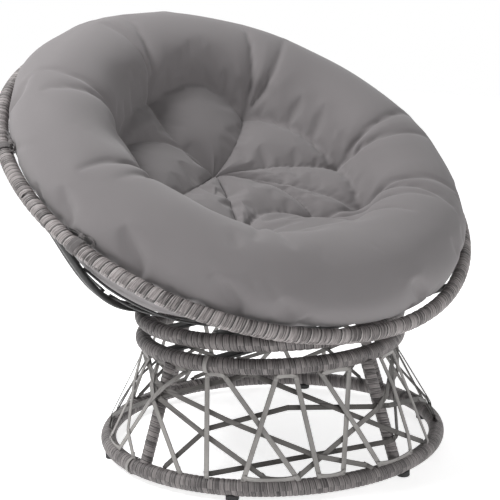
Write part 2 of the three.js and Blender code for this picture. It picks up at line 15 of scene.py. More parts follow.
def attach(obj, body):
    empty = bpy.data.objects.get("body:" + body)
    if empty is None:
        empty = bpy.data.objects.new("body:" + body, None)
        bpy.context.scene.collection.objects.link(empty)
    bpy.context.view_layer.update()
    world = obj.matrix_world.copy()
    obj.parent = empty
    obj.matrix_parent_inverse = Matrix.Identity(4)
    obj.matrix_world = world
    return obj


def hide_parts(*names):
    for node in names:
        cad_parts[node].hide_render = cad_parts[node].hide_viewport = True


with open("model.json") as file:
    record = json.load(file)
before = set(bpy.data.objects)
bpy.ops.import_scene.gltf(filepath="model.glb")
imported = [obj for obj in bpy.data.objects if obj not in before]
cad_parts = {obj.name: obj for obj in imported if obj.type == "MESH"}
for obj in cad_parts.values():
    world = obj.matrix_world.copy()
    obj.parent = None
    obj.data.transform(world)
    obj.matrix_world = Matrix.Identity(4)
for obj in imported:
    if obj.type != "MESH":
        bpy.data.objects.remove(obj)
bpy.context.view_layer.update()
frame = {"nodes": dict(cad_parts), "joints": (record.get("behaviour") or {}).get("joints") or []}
swivel = next(j for j in frame["joints"] if j["name"] == "swivel")
AXIS = np.array([swivel["pos_m"][0], swivel["pos_m"][1], 0.0])


# The camera stands where the photograph was taken from, a little above the
# rim and off to the chair's right, and turns a touch about its own line.
CAM_AZIMUTH, CAM_ELEVATION, CAM_ROLL = map(radians, (-39.41, 11.30, 1.28))
CAM_DISTANCE = 2.6628
CAM_TARGET = Vector(AXIS) + Vector((0, 0, 0.42))
CAM_FOCAL_SHARE = 1268.7 / 500
CAM_CENTRE_SHARE = (268.3 / 500, 246.4 / 500)

camera = bpy.data.objects.new("camera", bpy.data.cameras.new("camera"))
bpy.context.scene.collection.objects.link(camera)
bpy.context.scene.camera = camera
back = Vector((sin(CAM_AZIMUTH) * cos(CAM_ELEVATION),
               -cos(CAM_AZIMUTH) * cos(CAM_ELEVATION),
               sin(CAM_ELEVATION)))
camera.rotation_mode = "QUATERNION"
camera.location = CAM_TARGET + back * CAM_DISTANCE
camera.rotation_quaternion = ((-back).to_track_quat("-Z", "Y")
                              @ Matrix.Rotation(-CAM_ROLL, 4, "Z").to_quaternion())
camera.data.lens = camera.data.sensor_width * CAM_FOCAL_SHARE
camera.data.shift_x = 0.5 - CAM_CENTRE_SHARE[0]
camera.data.shift_y = CAM_CENTRE_SHARE[1] - 0.5
camera.data.clip_end = 50


# Studio: a pale seamless floor, a white surround and three large soft lamps:
# the key high at the left, a low fill in front and one high behind.
class Sock:
    """A node socket that adds Math nodes when Python does sums with it."""

    def __init__(self, tree, socket):
        self.tree, self.socket = tree, socket

    def math(self, operation, *values, clamp=False):
        node = self.tree.nodes.new("ShaderNodeMath")
        node.operation, node.use_clamp = operation, clamp
        for slot, value in zip(node.inputs, values):
            put(self.tree, slot, value)
        return Sock(self.tree, node.outputs[0])

    def __add__(self, other):
        return self.math("ADD", self, other)

    def __radd__(self, other):
        return self.math("ADD", other, self)

    def __sub__(self, other):
        return self.math("SUBTRACT", self, other)

    def __rsub__(self, other):
        return self.math("SUBTRACT", other, self)

    def __mul__(self, other):
        return self.math("MULTIPLY", self, other)

    def __rmul__(self, other):
        return self.math("MULTIPLY", other, self)

    def __pow__(self, other):
        return self.math("POWER", self, other)

    def __abs__(self):
        return self.math("ABSOLUTE", self)

    def sin(self):
        return self.math("SINE", self)

    def floor(self):
        return self.math("FLOOR", self)

    def fract(self):
        return self.math("FRACT", self)

    def clip(self):
        return self.math("ADD", self, 0.0, clamp=True)


def put(tree, slot, value):
    """Links a Sock to a node's input, or writes a plain value there."""
    if isinstance(value, Sock):
        tree.links.new(value.socket, slot)
    else:
        slot.default_value = value


class Finish:
    """A material under construction: its tree, and one method for any node."""

    def __init__(self, name):
        self.material = bpy.data.materials.new(name)
        self.material.use_nodes = True
        self.tree = self.material.node_tree
        self.shader = next(n for n in self.tree.nodes if n.type == "BSDF_PRINCIPLED")

    def node(self, kind, output=0, settings=(), **inputs):
        node = self.tree.nodes.new("ShaderNode" + kind)
        for key, value in dict(settings).items():
            setattr(node, key, value)
        for key, value in inputs.items():
            put(self.tree, node.inputs[int(key[1:]) if key[1:].isdigit() else key], value)
        return Sock(self.tree, node.outputs[output])

    def place(self):
        return self.node("TexCoord", output="Object")

    def wind(self):
        """Both coordinates of UV "wind": along a strip and across it, or in turns and round the tube."""
        along = self.node("SeparateXYZ", Vector=self.node("UVMap", settings={"uv_map": "wind"}))
        return along, Sock(self.tree, along.socket.node.outputs[1])

    def noise(self, at, scale, detail=2.0):
        return self.node("TexNoise", Vector=at, Scale=scale, Detail=detail)

    def mix(self, share, first, second):
        return self.node("Mix", output=2, settings={"data_type": "RGBA"},
                         i0=share, i6=first, i7=second)

    def bump(self, height, distance, strength=1.0):
        return self.node("Bump", Height=height, Distance=distance, Strength=strength)

    def wear(self, **inputs):
        for key, value in inputs.items():
            put(self.tree, self.shader.inputs[key.replace("_", " ")], value)
        return self.material


def grey_of(red, green, blue):
    """Linear colour of a tone written as screen values from 0 to 255."""
    return tuple((v / 255 / 12.92 if v <= 10 else ((v / 255 + 0.055) / 1.055) ** 2.4)
                 for v in (red, green, blue)) + (1.0,)


def make_object(name, mesh, material=None):
    piece = bpy.data.objects.new(name, mesh)
    bpy.context.scene.collection.objects.link(piece)
    if material:
        mesh.materials.append(material)
    return piece


FLOOR_HALF, FLOOR_GLOW = 7.0, 0.73
floor_mesh = bpy.data.meshes.new("floor")
floor_mesh.from_pydata([(-FLOOR_HALF, -FLOOR_HALF, 0), (FLOOR_HALF, -FLOOR_HALF, 0),
                        (FLOOR_HALF, FLOOR_HALF, 0), (-FLOOR_HALF, FLOOR_HALF, 0)], [], [(0, 1, 2, 3)])
floor_finish = Finish("studio_floor")
floor = make_object("floor", floor_mesh, floor_finish.wear(
    Base_Color=grey_of(238, 238, 238), Roughness=0.6, Emission_Color=(1, 1, 1, 1),
    Emission_Strength=FLOOR_GLOW))

world = bpy.data.worlds.new("studio")
world.use_nodes = True
bpy.context.scene.world = world
sky = world.node_tree
paths = sky.nodes.new("ShaderNodeLightPath")
seen = Sock(sky, paths.outputs["Is Camera Ray"]).math(
    "MAXIMUM", Sock(sky, paths.outputs["Is Camera Ray"]), Sock(sky, paths.outputs["Is Glossy Ray"]))
SURROUND_LEVEL = 0.19
put(sky, sky.nodes["Background"].inputs["Strength"], SURROUND_LEVEL + seen * (1 - SURROUND_LEVEL))
sky.nodes["Background"].inputs["Color"].default_value = (1, 1, 1, 1)

LAMP_AIM = Vector((0, 0, 0.4))
# name, place, size, watts
LAMPS = (("key_lamp", (-1.8, 0.8, 3.1), 1.5, 108), ("fill_lamp", (0.0, -3.4, 0.9), 2.4, 22),
         ("rear_lamp", (1.6, 2.2, 2.8), 2.4, 18))
for lamp_name, place, width, watts in LAMPS:
    lamp = bpy.data.lights.new(lamp_name, "AREA")
    lamp.shape, lamp.size, lamp.energy = "DISK", width, watts
    stand = bpy.data.objects.new(lamp_name, lamp)
    bpy.context.scene.collection.objects.link(stand)
    stand.location = place
    stand.rotation_euler = (LAMP_AIM - Vector(place)).to_track_quat("-Z", "Y").to_euler()
bpy.context.scene.view_settings.view_transform = "Standard"


# Bottom ring: a steel hoop wound edge to edge with poly-rattan strip, which
# turns round it as a long helix; each turn swells a little between its edges.
RING_TUBE = 0.016
BOTTOM_RING_RADIUS, BOTTOM_RING_HEIGHT = 0.351, 0.024
BASE_TURN = radians(4.1)
WIND_AROUND = 28
WIND_PER_TURN = 9


def grid_mesh(name, points, wrap_rows, wrap_columns, uv=None):
    """Mesh of a grid of points: rows x columns, each way closed on itself or open.
    uv holds one pair for each grid corner, with one more row or column where it wraps."""
    rows, columns = points.shape[:2]
    i, j = np.meshgrid(np.arange(rows - (not wrap_rows)), np.arange(columns - (not wrap_columns)),
                       indexing="ij")
    i, j = i.ravel(), j.ravel()
    corners_i = np.stack([i, i + 1, i + 1, i], 1)
    corners_j = np.stack([j, j, j + 1, j + 1], 1)
    faces = (corners_i % rows) * columns + corners_j % columns
    mesh = bpy.data.meshes.new(name)
    mesh.vertices.add(rows * columns)
    mesh.vertices.foreach_set("co", points.reshape(-1).astype(np.float32))
    mesh.loops.add(faces.size)
    mesh.loops.foreach_set("vertex_index", faces.reshape(-1).astype(np.int32))
    mesh.polygons.add(len(faces))
    mesh.polygons.foreach_set("loop_start", np.arange(0, faces.size, 4, dtype=np.int32))
    mesh.polygons.foreach_set("use_smooth", np.ones(len(faces), dtype=bool))
    if uv is not None:
        mesh.uv_layers.new(name="wind").data.foreach_set(
            "uv", uv[corners_i, corners_j].reshape(-1).astype(np.float32))
    mesh.update(calc_edges=True)
    mesh.validate()
    return mesh


def capped_mesh(name, middle, rows, uv=None):
    """Tube of rows of points round each middle, closed by a point at both ends."""
    caps = np.broadcast_to(middle[[0, -1], None, :], (2, rows.shape[1], 3))
    if uv is not None:
        uv = np.concatenate([uv[:1], uv, uv[-1:]])
    return grid_mesh(name, np.concatenate([caps[:1], rows, caps[1:]]), False, True, uv)


def wound_tube(name, centre, outward, normal, turns, tube, swell, closed, around=WIND_AROUND):
    """Tube wound with strip. centre, outward and normal hold one row for each station; turns
    counts the strip's turns up to there. A point lies at the radius
    tube + swell * (0.55 - |2 f - 1| ** 3) + 0.35 * swell * (0.5 - f), f the share of its turn."""
    v = np.linspace(0, 2 * np.pi, around + 1)
    q = turns[:, None] + v[None, :] / (2 * np.pi)
    f = q - np.floor(q)
    radius = tube + swell * (0.55 - np.abs(2 * f - 1) ** 3) + 0.35 * swell * (0.5 - f)
    ring = radius[..., None] * (np.cos(v)[None, :, None] * outward[:, None, :]
                                + np.sin(v)[None, :, None] * normal[:, None, :])
    points = centre[:, None, :] + ring
    uv = np.stack([q, np.broadcast_to(v / (2 * np.pi), q.shape)], -1)
    if closed:
        return grid_mesh(name, points[:-1, :-1], True, True, uv)
    return capped_mesh(name, centre, points[:, :-1], uv)


def strip_finish(name, dark, light, edge, lines):
    """Poly-rattan strip wound on a tube: each turn has its own tone, fine lines
    run along it, its lapped edge has a painted highlight and the groove between turns painted shade."""
    made = Finish(name)
    turn, round_it = made.wind()
    share = turn.fract()
    tone = made.node("TexWhiteNoise", settings={"noise_dimensions": "1D"}, W=turn.floor())
    along = made.node("CombineXYZ", X=turn * lines, Y=round_it * 2.2, Z=turn.floor() * 3.7)
    streak = made.noise(along, 1.0, 3.0)
    fine_along = made.node("CombineXYZ", X=turn * (lines * 4.0), Y=round_it * 5.0, Z=turn.floor())
    fibre = made.noise(fine_along, 1.0, 2.0)
    body = made.mix((tone * 0.5 + streak * 2.2 + fibre * 1.0 - 1.35).clip(), dark, light)
    # painted highlight: a pale band on the lapped edge at the start of each turn
    rib = made.node("MapRange", Value=share, i1=0.0, i2=0.16, i3=1.0, i4=0.0)
    groove_shade = made.node("MapRange", Value=share, i1=0.78, i2=0.94, i3=0.0, i4=1.0)
    colour = made.mix((rib * 0.55).clip(), body, edge)
    # painted shade: the groove at the end of each turn is painted near black
    colour = made.mix((groove_shade * 0.92).clip(), colour, grey_of(22, 20, 20))
    ridges = (share * (pi * 8)).sin() * 0.35 + streak * 0.8 + fibre * 0.8
    return made.wear(Base_Color=colour, Roughness=0.42 + streak * 0.18,
                     Normal=made.bump(ridges, 0.0007, 0.8), Specular_IOR_Level=0.5)


# the third grey is the painted highlight on each turn's lapped edge
WOUND_DARK, WOUND_LIGHT, WOUND_PAINTED_HIGHLIGHT = grey_of(40, 36, 37), grey_of(150, 144, 143), grey_of(168, 162, 161)
ring_strip = strip_finish("ring_strip", WOUND_DARK, WOUND_LIGHT, WOUND_PAINTED_HIGHLIGHT, 9.0)
EAST, NORTH, UP = np.eye(3)


def spoke(angle, side=NORTH):
    """Direction at an angle from east, in the plane of east and side."""
    return np.cos(angle) * EAST + np.sin(angle) * side


def wound_ring(name, node, radius, height, pitch, swell, body, uneven=0.0, widest=0.0):
    """Ring wound round. Its turns thin out by the share uneven where the share widest of the way
    round is reached: turns * (share - uneven * sin(2 pi (share - widest)) / (2 pi)) lie before share."""
    turns = round(2 * pi * radius / pitch)
    share = np.linspace(0, 1, turns * WIND_PER_TURN + 1)
    counted = turns * (share - uneven * np.sin(2 * np.pi * (share - widest)) / (2 * np.pi))
    angle = (2 * pi * share)[:, None]
    outward = spoke(angle + BASE_TURN)
    mesh = wound_tube(name, AXIS + UP * height + radius * outward, outward,
                      np.broadcast_to(UP, outward.shape), counted, RING_TUBE - swell * 0.4, swell, True)
    ring = make_object(name, mesh, ring_strip)
    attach(ring, body)
    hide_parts(node)


wound_ring("bottom_ring_winding", "base_bottom_ring", BOTTOM_RING_RADIUS, BOTTOM_RING_HEIGHT,
           0.0112, 0.0009, "base")


# Top ring and support ring: the same wound hoop, smaller; the base carries
# the lower one and the bowl turns with the upper one.
TOP_RING_RADIUS, TOP_RING_HEIGHT = 0.269, 0.238
SUPPORT_RING_RADIUS, SUPPORT_RING_HEIGHT = 0.269, 0.284
wound_ring("top_ring_winding", "base_top_ring", TOP_RING_RADIUS, TOP_RING_HEIGHT, 0.0104, 0.0009, "base")
wound_ring("support_ring_winding", "seat_support_ring", SUPPORT_RING_RADIUS, SUPPORT_RING_HEIGHT,
           0.0125, 0.0012, "bowl", uneven=0.38, widest=0.80)


# Legs: four straight tubes from ring to ring, wound like the rings and
# butted against both, so that the winding ends inside the rings' own winding.
LEG_TUBE, LEG_PITCH, LEG_SWELL, LEG_AROUND, LEG_SUNK = 0.012, 0.0098, 0.0008, 20, 0.002


def unit(rows):
    """The rows at length 1."""
    return rows / np.linalg.norm(rows, axis=-1, keepdims=True)


for number in range(4):
    angle = BASE_TURN + number * pi / 2
    out = spoke(angle)
    low = AXIS + out * BOTTOM_RING_RADIUS + UP * BOTTOM_RING_HEIGHT
    high = AXIS + out * TOP_RING_RADIUS + UP * TOP_RING_HEIGHT
    line = high - low
    length = np.linalg.norm(line)
    line /= length
    low, length = low + line * (RING_TUBE - LEG_SUNK), length - 2 * (RING_TUBE - LEG_SUNK)
    side = unit(np.cross(UP, line))
    turns = length / LEG_PITCH
    share = np.linspace(0, 1, int(turns * WIND_PER_TURN) + 1)
    stations = (low + line * (share * length)[:, None], np.broadcast_to(side, (len(share), 3)),
                np.broadcast_to(np.cross(line, side), (len(share), 3)), share * turns)
    name = f"leg_{number + 1}_winding"
    leg = make_object(name, wound_tube(name, *stations, LEG_TUBE - LEG_SWELL * 0.4, LEG_SWELL, False,
                                       LEG_AROUND), ring_strip)
    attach(leg, "base")
    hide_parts(f"base_leg_{number + 1}")


# Rim: two wound half hoops plugged together at the sides, tilted back. The
# back half's turns are narrow; the front half's grow wider towards the front.
RIM_RADIUS, RIM_TUBE, RIM_TILT = 0.510, 0.015, radians(31.8)
RIM_MIDDLE = AXIS + np.array([0.0, 0.084, 0.575])
RIM_UP = np.array([0.0, cos(RIM_TILT), sin(RIM_TILT)])
RIM_OUT = np.array([0.0, -sin(RIM_TILT), cos(RIM_TILT)])
SEAM_HALF = 0.002 / RIM_RADIUS
HALVES = (("back", 0.0), ("front", pi))
BACK_PITCH, SIDE_PITCH, FRONT_PITCH = 0.0102, 0.0150, 0.0215
RIM_COUNTED = 2000

# the rim's third grey is the painted highlight on each turn's lapped edge
rim_strip = strip_finish("rim_strip", grey_of(42, 37, 37), grey_of(172, 165, 164),
                         grey_of(200, 194, 192), 9.0)


def clean(mesh):
    """Merges doubles and turns every face outwards."""
    work = bmesh.new()
    work.from_mesh(mesh)
    bmesh.ops.remove_doubles(work, verts=work.verts, dist=1e-6)
    bmesh.ops.dissolve_degenerate(work, edges=work.edges, dist=1e-7)
    bmesh.ops.recalc_face_normals(work, faces=work.faces)
    work.to_mesh(mesh)
    work.free()
    mesh.polygons.foreach_set("use_smooth", np.ones(len(mesh.polygons), dtype=bool))
    mesh.update()
    return mesh


def half_turn(start, gap, share):
    """Angle at a share of the way round a half hoop from start, less a gap at both its ends."""
    return start + gap + (pi - 2 * gap) * share


def rim_half(name, node, start, pitch_at, swell, around):
    """Half of the rim from angle start on; pitch_at(share) gives the width of a turn there."""
    fine = np.linspace(0, 1, RIM_COUNTED + 1)
    length = (pi - 2 * SEAM_HALF) * RIM_RADIUS
    counted = np.concatenate([[0], np.cumsum(length / RIM_COUNTED / pitch_at((fine[1:] + fine[:-1]) / 2))])
    counted *= round(counted[-1]) / counted[-1]
    stations = int(counted[-1] * WIND_PER_TURN)
    turns = np.linspace(0, counted[-1], stations + 1)
    share = np.interp(turns, counted, fine)
    angle = half_turn(start, SEAM_HALF, share)[:, None]
    outward = spoke(angle, RIM_UP)
    normal = np.broadcast_to(-RIM_OUT, outward.shape)
    mesh = wound_tube(name, RIM_MIDDLE + RIM_RADIUS * outward, outward, normal, turns,
                      RIM_TUBE - swell * 0.3, swell, False, around)
    half = make_object(name, clean(mesh), rim_strip)
    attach(half, "bowl")
    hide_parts(node)


rim_half("rim_back_winding", "rim_back", 0.0, lambda share: BACK_PITCH + 0 * share, 0.0009, 30)
rim_half("rim_front_winding", "rim_front", pi,
         lambda share: SIDE_PITCH + (FRONT_PITCH - SIDE_PITCH) * np.sin(pi * share) ** 0.8, 0.0016, 36)


# Cushion: a woven cover filled with fibre, one round pad with a fat roll
# round its edge, sewn down at nine tufts. Creases run from the middle tuft to
# the eight others, from each of those to the next, and out over the roll.
ROLL_RADIUS, ROLL_TUBE, ROLL_LEVEL, ROLL_BULGE, TUBE_BULGE = 0.376, 0.105, -0.006, 0.012, 0.009
EDGE_RADIUS, EDGE_BULGE, EDGE_HEIGHT, BULGE_TURN = 0.486, 0.032, 0.042, radians(60)
TUCK_RADIUS, TUCK_HEIGHT = 0.491, 0.004
HOLLOW_DEPTH, HOLLOW_SHIFT, TUFT_LEVEL, TUFT_RADIUS = 0.040, 0.070, 0.010, 0.252
# tufts round the middle one: degrees in the rim's plane, and metres from its middle
TUFTS_AT = ((-170, 0.235), (-122, 0.200), (-52, 0.183), (-38, 0.256), (-4, 0.256), (52, 0.246),
            (104, 0.262), (145, 0.246))
# how far each crease bows, as a share of its length: middle to tuft, and tuft to next tuft
RADIAL_BOWS = (0.0, 0.0, 0.22, 0.14, 0.10, 0.0, 0.10, -0.20)
RING_BOWS = (-0.05, 0.12, -0.05, -0.08, -0.14, -0.24, -0.10, -0.05)
PILLOW_WIDTH, CREASE_WIDTH = 0.040, 0.0065
UNDER_RADII = (0.460, 0.430, 0.390, 0.340, 0.280, 0.210, 0.140, 0.070, 0.0)
CUSHION_COLUMNS, CUSHION_ROWS = 260, 124
PIN_REACH, HELD_SHARE, PRESSURE, SWELL_CAP, SPARE_CLOTH = 0.007, 0.9, 4.0, 0.016, 0.012
# depths of the valleys, the folds, the dimples at the tufts and the waves, and how far all is filled out
VALLEY_DEPTH, FOLD_DEPTH, WAVE_DEPTH, FILL = 0.020, 0.007, 0.0025, 0.006
DIMPLE_DEPTH, DIMPLE_WIDTH = 0.022, 0.026
# how far under the rim the cover is free, and by how much it lies inside the wires
FREE_BELOW, FADE_RISE, INSET, INSET_BELOW, INSET_DROP = 0.016, 0.030, 0.0015, 0.012, 0.012


def in_rim(across, up, height):
    """Points from their places in the rim's plane and over it."""
    return (RIM_MIDDLE + across[..., None] * EAST + up[..., None] * RIM_UP
            + height[..., None] * RIM_OUT)


def cad_work(node):
    """The CAD's mesh of a node, in its place, as a bmesh."""
    work = bmesh.new()
    work.from_mesh(frame["nodes"][node].data)
    work.transform(frame["nodes"][node].matrix_world)
    return work


def cad_tree(node):
    """The same surface, to cast rays at."""
    work = cad_work(node)
    tree = BVHTree.FromBMesh(work)
    work.free()
    return tree


def cushion_profile(phi):
    """Rows of points for every column: the hollow (height level - depth * (1 - share ** 2)),
    the roll (a tube of radius ROLL_TUBE met at 160 to 48 degrees), the side and the underside."""
    bulge = np.maximum(0, np.cos(phi - BULGE_TURN))
    rows = []
    for share in (0.0, 0.15, 0.3, 0.45, 0.6, 0.75, 0.88, 1.0):
        rows.append(in_rim(TUFT_RADIUS * share * np.cos(phi),
                           TUFT_RADIUS * share * np.sin(phi) + HOLLOW_SHIFT * (1 - share) ** 2,
                           TUFT_LEVEL - (HOLLOW_DEPTH + TUFT_LEVEL) * (1 - share ** 2) + 0 * phi))
    sides = []
    for turn in np.radians((160, 144, 128, 112, 96, 80, 64, 48)):
        tube = ROLL_TUBE + TUBE_BULGE * bulge
        sides.append((ROLL_RADIUS + ROLL_BULGE * bulge + tube * cos(turn),
                      ROLL_LEVEL + tube * sin(turn)))
    sides.append((EDGE_RADIUS + EDGE_BULGE * bulge, EDGE_HEIGHT + 0 * phi))
    sides.append((TUCK_RADIUS + 0 * phi, TUCK_HEIGHT + 0 * phi))
    rows += [in_rim(radius * np.cos(phi), radius * np.sin(phi), height) for radius, height in sides]
    tree = cad_tree("cushion")
    for radius in UNDER_RADII:
        below = in_rim(radius * np.cos(phi), radius * np.sin(phi), np.full_like(phi, -0.6))
        rows.append(np.array([list(tree.ray_cast(Vector(p), Vector(RIM_OUT))[0]) for p in below]))
    return np.stack(rows)


def catmull_rom(a, b, c, d, t):
    """Point at share t of the smooth curve from b to c that comes from a and goes on to d."""
    return 0.5 * (2 * b + (c - a) * t + (2 * a - 5 * b + 4 * c - d) * t * t
                  + (3 * b - 3 * c + d - a) * t ** 3)


def run_of(points):
    """Length of a line of points up to each of them, or of the line down each column."""
    steps = np.linalg.norm(np.diff(points, axis=0), axis=-1)
    return np.concatenate([np.zeros_like(steps[:1]), np.cumsum(steps, axis=0)])


def resampled(rows, count):
    """Smooth curve through the rows of each column, cut into count equal runs."""
    fine = []
    padded = np.concatenate([rows[:1], rows, rows[-1:]])
    for a, b, c, d in zip(padded, padded[1:], padded[2:], padded[3:]):
        for t in np.linspace(0, 1, 12, endpoint=False):
            fine.append(catmull_rom(a, b, c, d, t))
    fine = np.array(fine + [rows[-1]])
    run = run_of(fine)
    out = np.empty((count + 1, rows.shape[1], 3))
    length = np.empty((count + 1, rows.shape[1]))
    for column in range(rows.shape[1]):
        length[:, column] = np.linspace(0, run[-1, column], count + 1)
        for axis in range(3):
            out[:, column, axis] = np.interp(length[:, column], run[:, column], fine[:, column, axis])
    return out, length


def crease_curves(spots):
    """Creases as bowed lines in the flat plane, where spots are the tufts round the middle one.
    Each gives its points, its depth along them and how wide it is."""
    rng = np.random.default_rng(11)
    curves = []

    def crease(p, q, bow, depths, wide):
        t = np.linspace(0, 1, 24)
        side = np.array([-(q - p)[1], (q - p)[0]])
        points = p + (q - p) * t[:, None] + side * (bow * 4 * t * (1 - t))[:, None]
        curves.append((points, np.interp(t, (0, 0.5, 1), depths), wide))

    for spot, after, radial_bow, ring_bow in zip(spots, np.roll(spots, -1, axis=0), RADIAL_BOWS, RING_BOWS):
        crease(np.zeros(2), spot, radial_bow, (1.0, 0.6, 1.0), 0.9)
        crease(spot, after, ring_bow, (1.0, 0.7, 1.0), 1.0)
        for way in (-1, 1):
            lean = math.atan2(spot[1], spot[0]) + way * radians(rng.uniform(4.0, 8.5))
            reach = np.linalg.norm(spot) + rng.uniform(0.22, 0.31)
            crease(spot, reach * np.array([cos(lean), sin(lean)]), rng.uniform(-0.06, 0.06),
                   (0.9, 0.45, 0.0), 0.5)
    return curves


def crease_field(flat, spots):
    """Depths of the pillows' valleys (the deepest of depth * exp(-gap / width)), of the narrow folds
    at their bottom, and how far each place lies from a tuft."""
    valley, fold = np.zeros((2,) + flat.shape[:2])
    for points, depths, wide in crease_curves(spots):
        for p, q, d0, d1 in zip(points, points[1:], depths, depths[1:]):
            run = q - p
            t = np.clip(((flat - p) @ run) / (run @ run), 0, 1)
            gap = np.linalg.norm(flat - p - t[..., None] * run, axis=-1)
            depth = d0 + (d1 - d0) * t
            valley = np.maximum(valley, depth * np.exp(-gap / (PILLOW_WIDTH * wide)))
            fold = np.maximum(fold, depth * np.exp(-gap / CREASE_WIDTH))
    away = np.min([np.linalg.norm(flat - spot, axis=-1) for spot in [np.zeros(2), *spots]], axis=0)
    return valley, fold, away


def slow_waves(flat, seed, count):
    """Sum of slow waves in the flat plane, between about -1 and 1."""
    rng = np.random.default_rng(seed)
    total = np.zeros(flat.shape[:2])
    for _ in range(count):
        angle, size = rng.uniform(0, 2 * np.pi), rng.uniform(14, 34)
        total += np.sin(size * (flat @ [cos(angle), sin(angle)]) + rng.uniform(0, 2 * np.pi))
    return total / math.sqrt(count) / 1.4


def surface_normals(points):
    """Unit normals of a grid that closes on itself along its columns, out of the cushion."""
    along = np.gradient(points, axis=0)
    across = np.roll(points, -1, axis=1) - np.roll(points, 1, axis=1)
    normal = np.cross(along, across)
    normal[0], normal[-1] = RIM_OUT, -RIM_OUT
    return normal / (np.linalg.norm(normal, axis=2, keepdims=True) + 1e-12)


def inflated(points, held):
    """The grid of points after 20 frames of cloth with air in it; held gives how firmly each stays."""
    piece = make_object("cover_in_cloth", grid_mesh("cover_in_cloth", points, False, True))
    group = piece.vertex_groups.new(name="held")
    weight = held.ravel()
    for step in range(1, 11):
        chosen = np.nonzero(np.rint(weight * 10) == step)[0]
        group.add([int(i) for i in chosen], step / 10, "REPLACE")
    cloth = piece.modifiers.new("cloth", "CLOTH")
    cloth.settings.vertex_group_mass = "held"
    cloth.settings.quality = 6
    cloth.settings.use_pressure = True
    cloth.settings.uniform_pressure_force = PRESSURE
    cloth.settings.shrink_min = -SPARE_CLOTH
    cloth.settings.bending_stiffness = 3.0
    cloth.settings.effector_weights.gravity = 0
    cloth.collision_settings.use_collision = False
    cloth.point_cache.frame_start, cloth.point_cache.frame_end = 1, 20
    for number in range(1, 21):
        bpy.context.scene.frame_set(number)
    shaped = piece.evaluated_get(bpy.context.evaluated_depsgraph_get())
    end = np.empty(points.size)
    shaped.data.vertices.foreach_get("co", end)
    bpy.context.scene.frame_set(1)
    bpy.data.objects.remove(piece)
    moved = end.reshape(points.shape) - points
    far = np.linalg.norm(moved, axis=2, keepdims=True)
    return points + moved * np.minimum(1, SWELL_CAP / np.maximum(far, 1e-9))


def halved(points):
    """The grid with a new row and column between each two: (9 (b + c) - a - d) / 16 of the four
    about it."""
    def between(a, b, c, d):
        return (9 * (b + c) - a - d) / 16
    padded = np.concatenate([points[:1], points, points[-1:]])
    rows = np.empty((2 * len(points) - 1,) + points.shape[1:])
    rows[::2], rows[1::2] = points, between(padded[:-3], padded[1:-2], padded[2:-1], padded[3:])
    out = np.empty((len(rows), 2 * points.shape[1], 3))
    out[:, ::2] = rows
    out[:, 1::2] = between(np.roll(rows, 1, 1), rows, np.roll(rows, -1, 1), np.roll(rows, -2, 1))
    return out


phi = np.linspace(0, 2 * np.pi, CUSHION_COLUMNS, endpoint=False)
points, length = resampled(cushion_profile(phi), CUSHION_ROWS)
flat = np.stack([length * np.cos(phi), length * np.sin(phi)], -1)
top = points[:CUSHION_ROWS // 2] - RIM_MIDDLE
spots = []
for degrees, radius in TUFTS_AT:
    gap = np.hypot(top @ EAST - radius * cos(radians(degrees)),
                   top @ RIM_UP - radius * sin(radians(degrees)))
    spots.append(flat[np.unravel_index(np.argmin(gap), gap.shape)])
valley, fold, away = crease_field(flat, np.array(spots))
# beyond the roll's crest the swell dies out just under the rim, and below that the cover lies
# inside the wires
level = (points - RIM_MIDDLE) @ RIM_OUT
outer = np.arange(len(points))[:, None] > np.argmax(level, axis=0)
fade = np.where(outer, np.clip((level + FREE_BELOW) / FADE_RISE, 0, 1), 1.0)
inside = np.where(outer, INSET * np.clip((-level - INSET_BELOW) / INSET_DROP, 0, 1), 0.0)
depth = (VALLEY_DEPTH * valley + FOLD_DEPTH * fold + DIMPLE_DEPTH * np.exp(-away / DIMPLE_WIDTH)
         - WAVE_DEPTH * slow_waves(flat, 5, 9) - FILL)
points -= surface_normals(points) * (depth * fade + inside)[..., None]
held = np.maximum(HELD_SHARE * fold, (away < PIN_REACH) | (outer & (level < -FREE_BELOW)))
points[1:-1] = inflated(points[1:-1], held[1:-1])
cushion = make_object("cushion_cover", clean(grid_mesh("cushion_cover", halved(points), False, True)))

cover = Finish("cover_cloth")
weave_at = cover.place()
slow = cover.noise(weave_at, 9.0, 3.0)
fine = cover.noise(weave_at, 900.0, 2.0)
colour = cover.mix(slow * 0.35 + fine * 0.12, grey_of(120, 116, 117), grey_of(137, 133, 134))
cushion.data.materials.append(cover.wear(
    Base_Color=colour, Roughness=0.92, Sheen_Weight=0.15, Sheen_Roughness=0.6,
    Normal=cover.bump(fine, 0.0004, 0.25)))
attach(cushion, "cushion")
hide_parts("cushion")


# Web: flat poly-rattan strips, 10 mm wide, pulled taut from ring to ring, each
# over those laid before it. Each runs on into the ring's winding at a knot, and
# hugs the ring from there to the next knot; two ends are wound round the ring.
STRIP_WIDTH, STRIP_THICK = 0.010, 0.0016
WEB_TURN = radians(-133.5)
# knots by strip: angle in degrees from the first strip, and share of the height from ring to ring
WEB_KNOTS = (
    ((-20, 0), (43.5, 0.2), (100, 1), (108, 1), (86, 0), (100, 0), (75, 0.35), (43.5, 0.57), (6, 0.68),
     (-24, 0.44), (-37, 0)),
    ((60, 0), (-5, 1), (-13, 1), (-94, 0), (-86, 0), (-101, 1)),
    ((73, 1), (8, 0), (-3, 0), (-70, 1), (-79, 1), (31, 0)),
    ((-31, 0), (-57, 1), (-38, 1), (-61, 0), (-72, 0), (-64, 1), (-78, 1), (-52, 0)),
    ((-21, 0), (-27, 1), (-19, 1), (7, 0), (-9, 0), (2, 1), (10, 1), (14, 0), (22, 0), (34, 1), (21, 1),
     (35, 0), (50, 0), (54, 1), (66, 1), (62, 0)))
WEB_LOW, WEB_HIGH, BAR_HALF = 0.046, 0.216, 0.0064
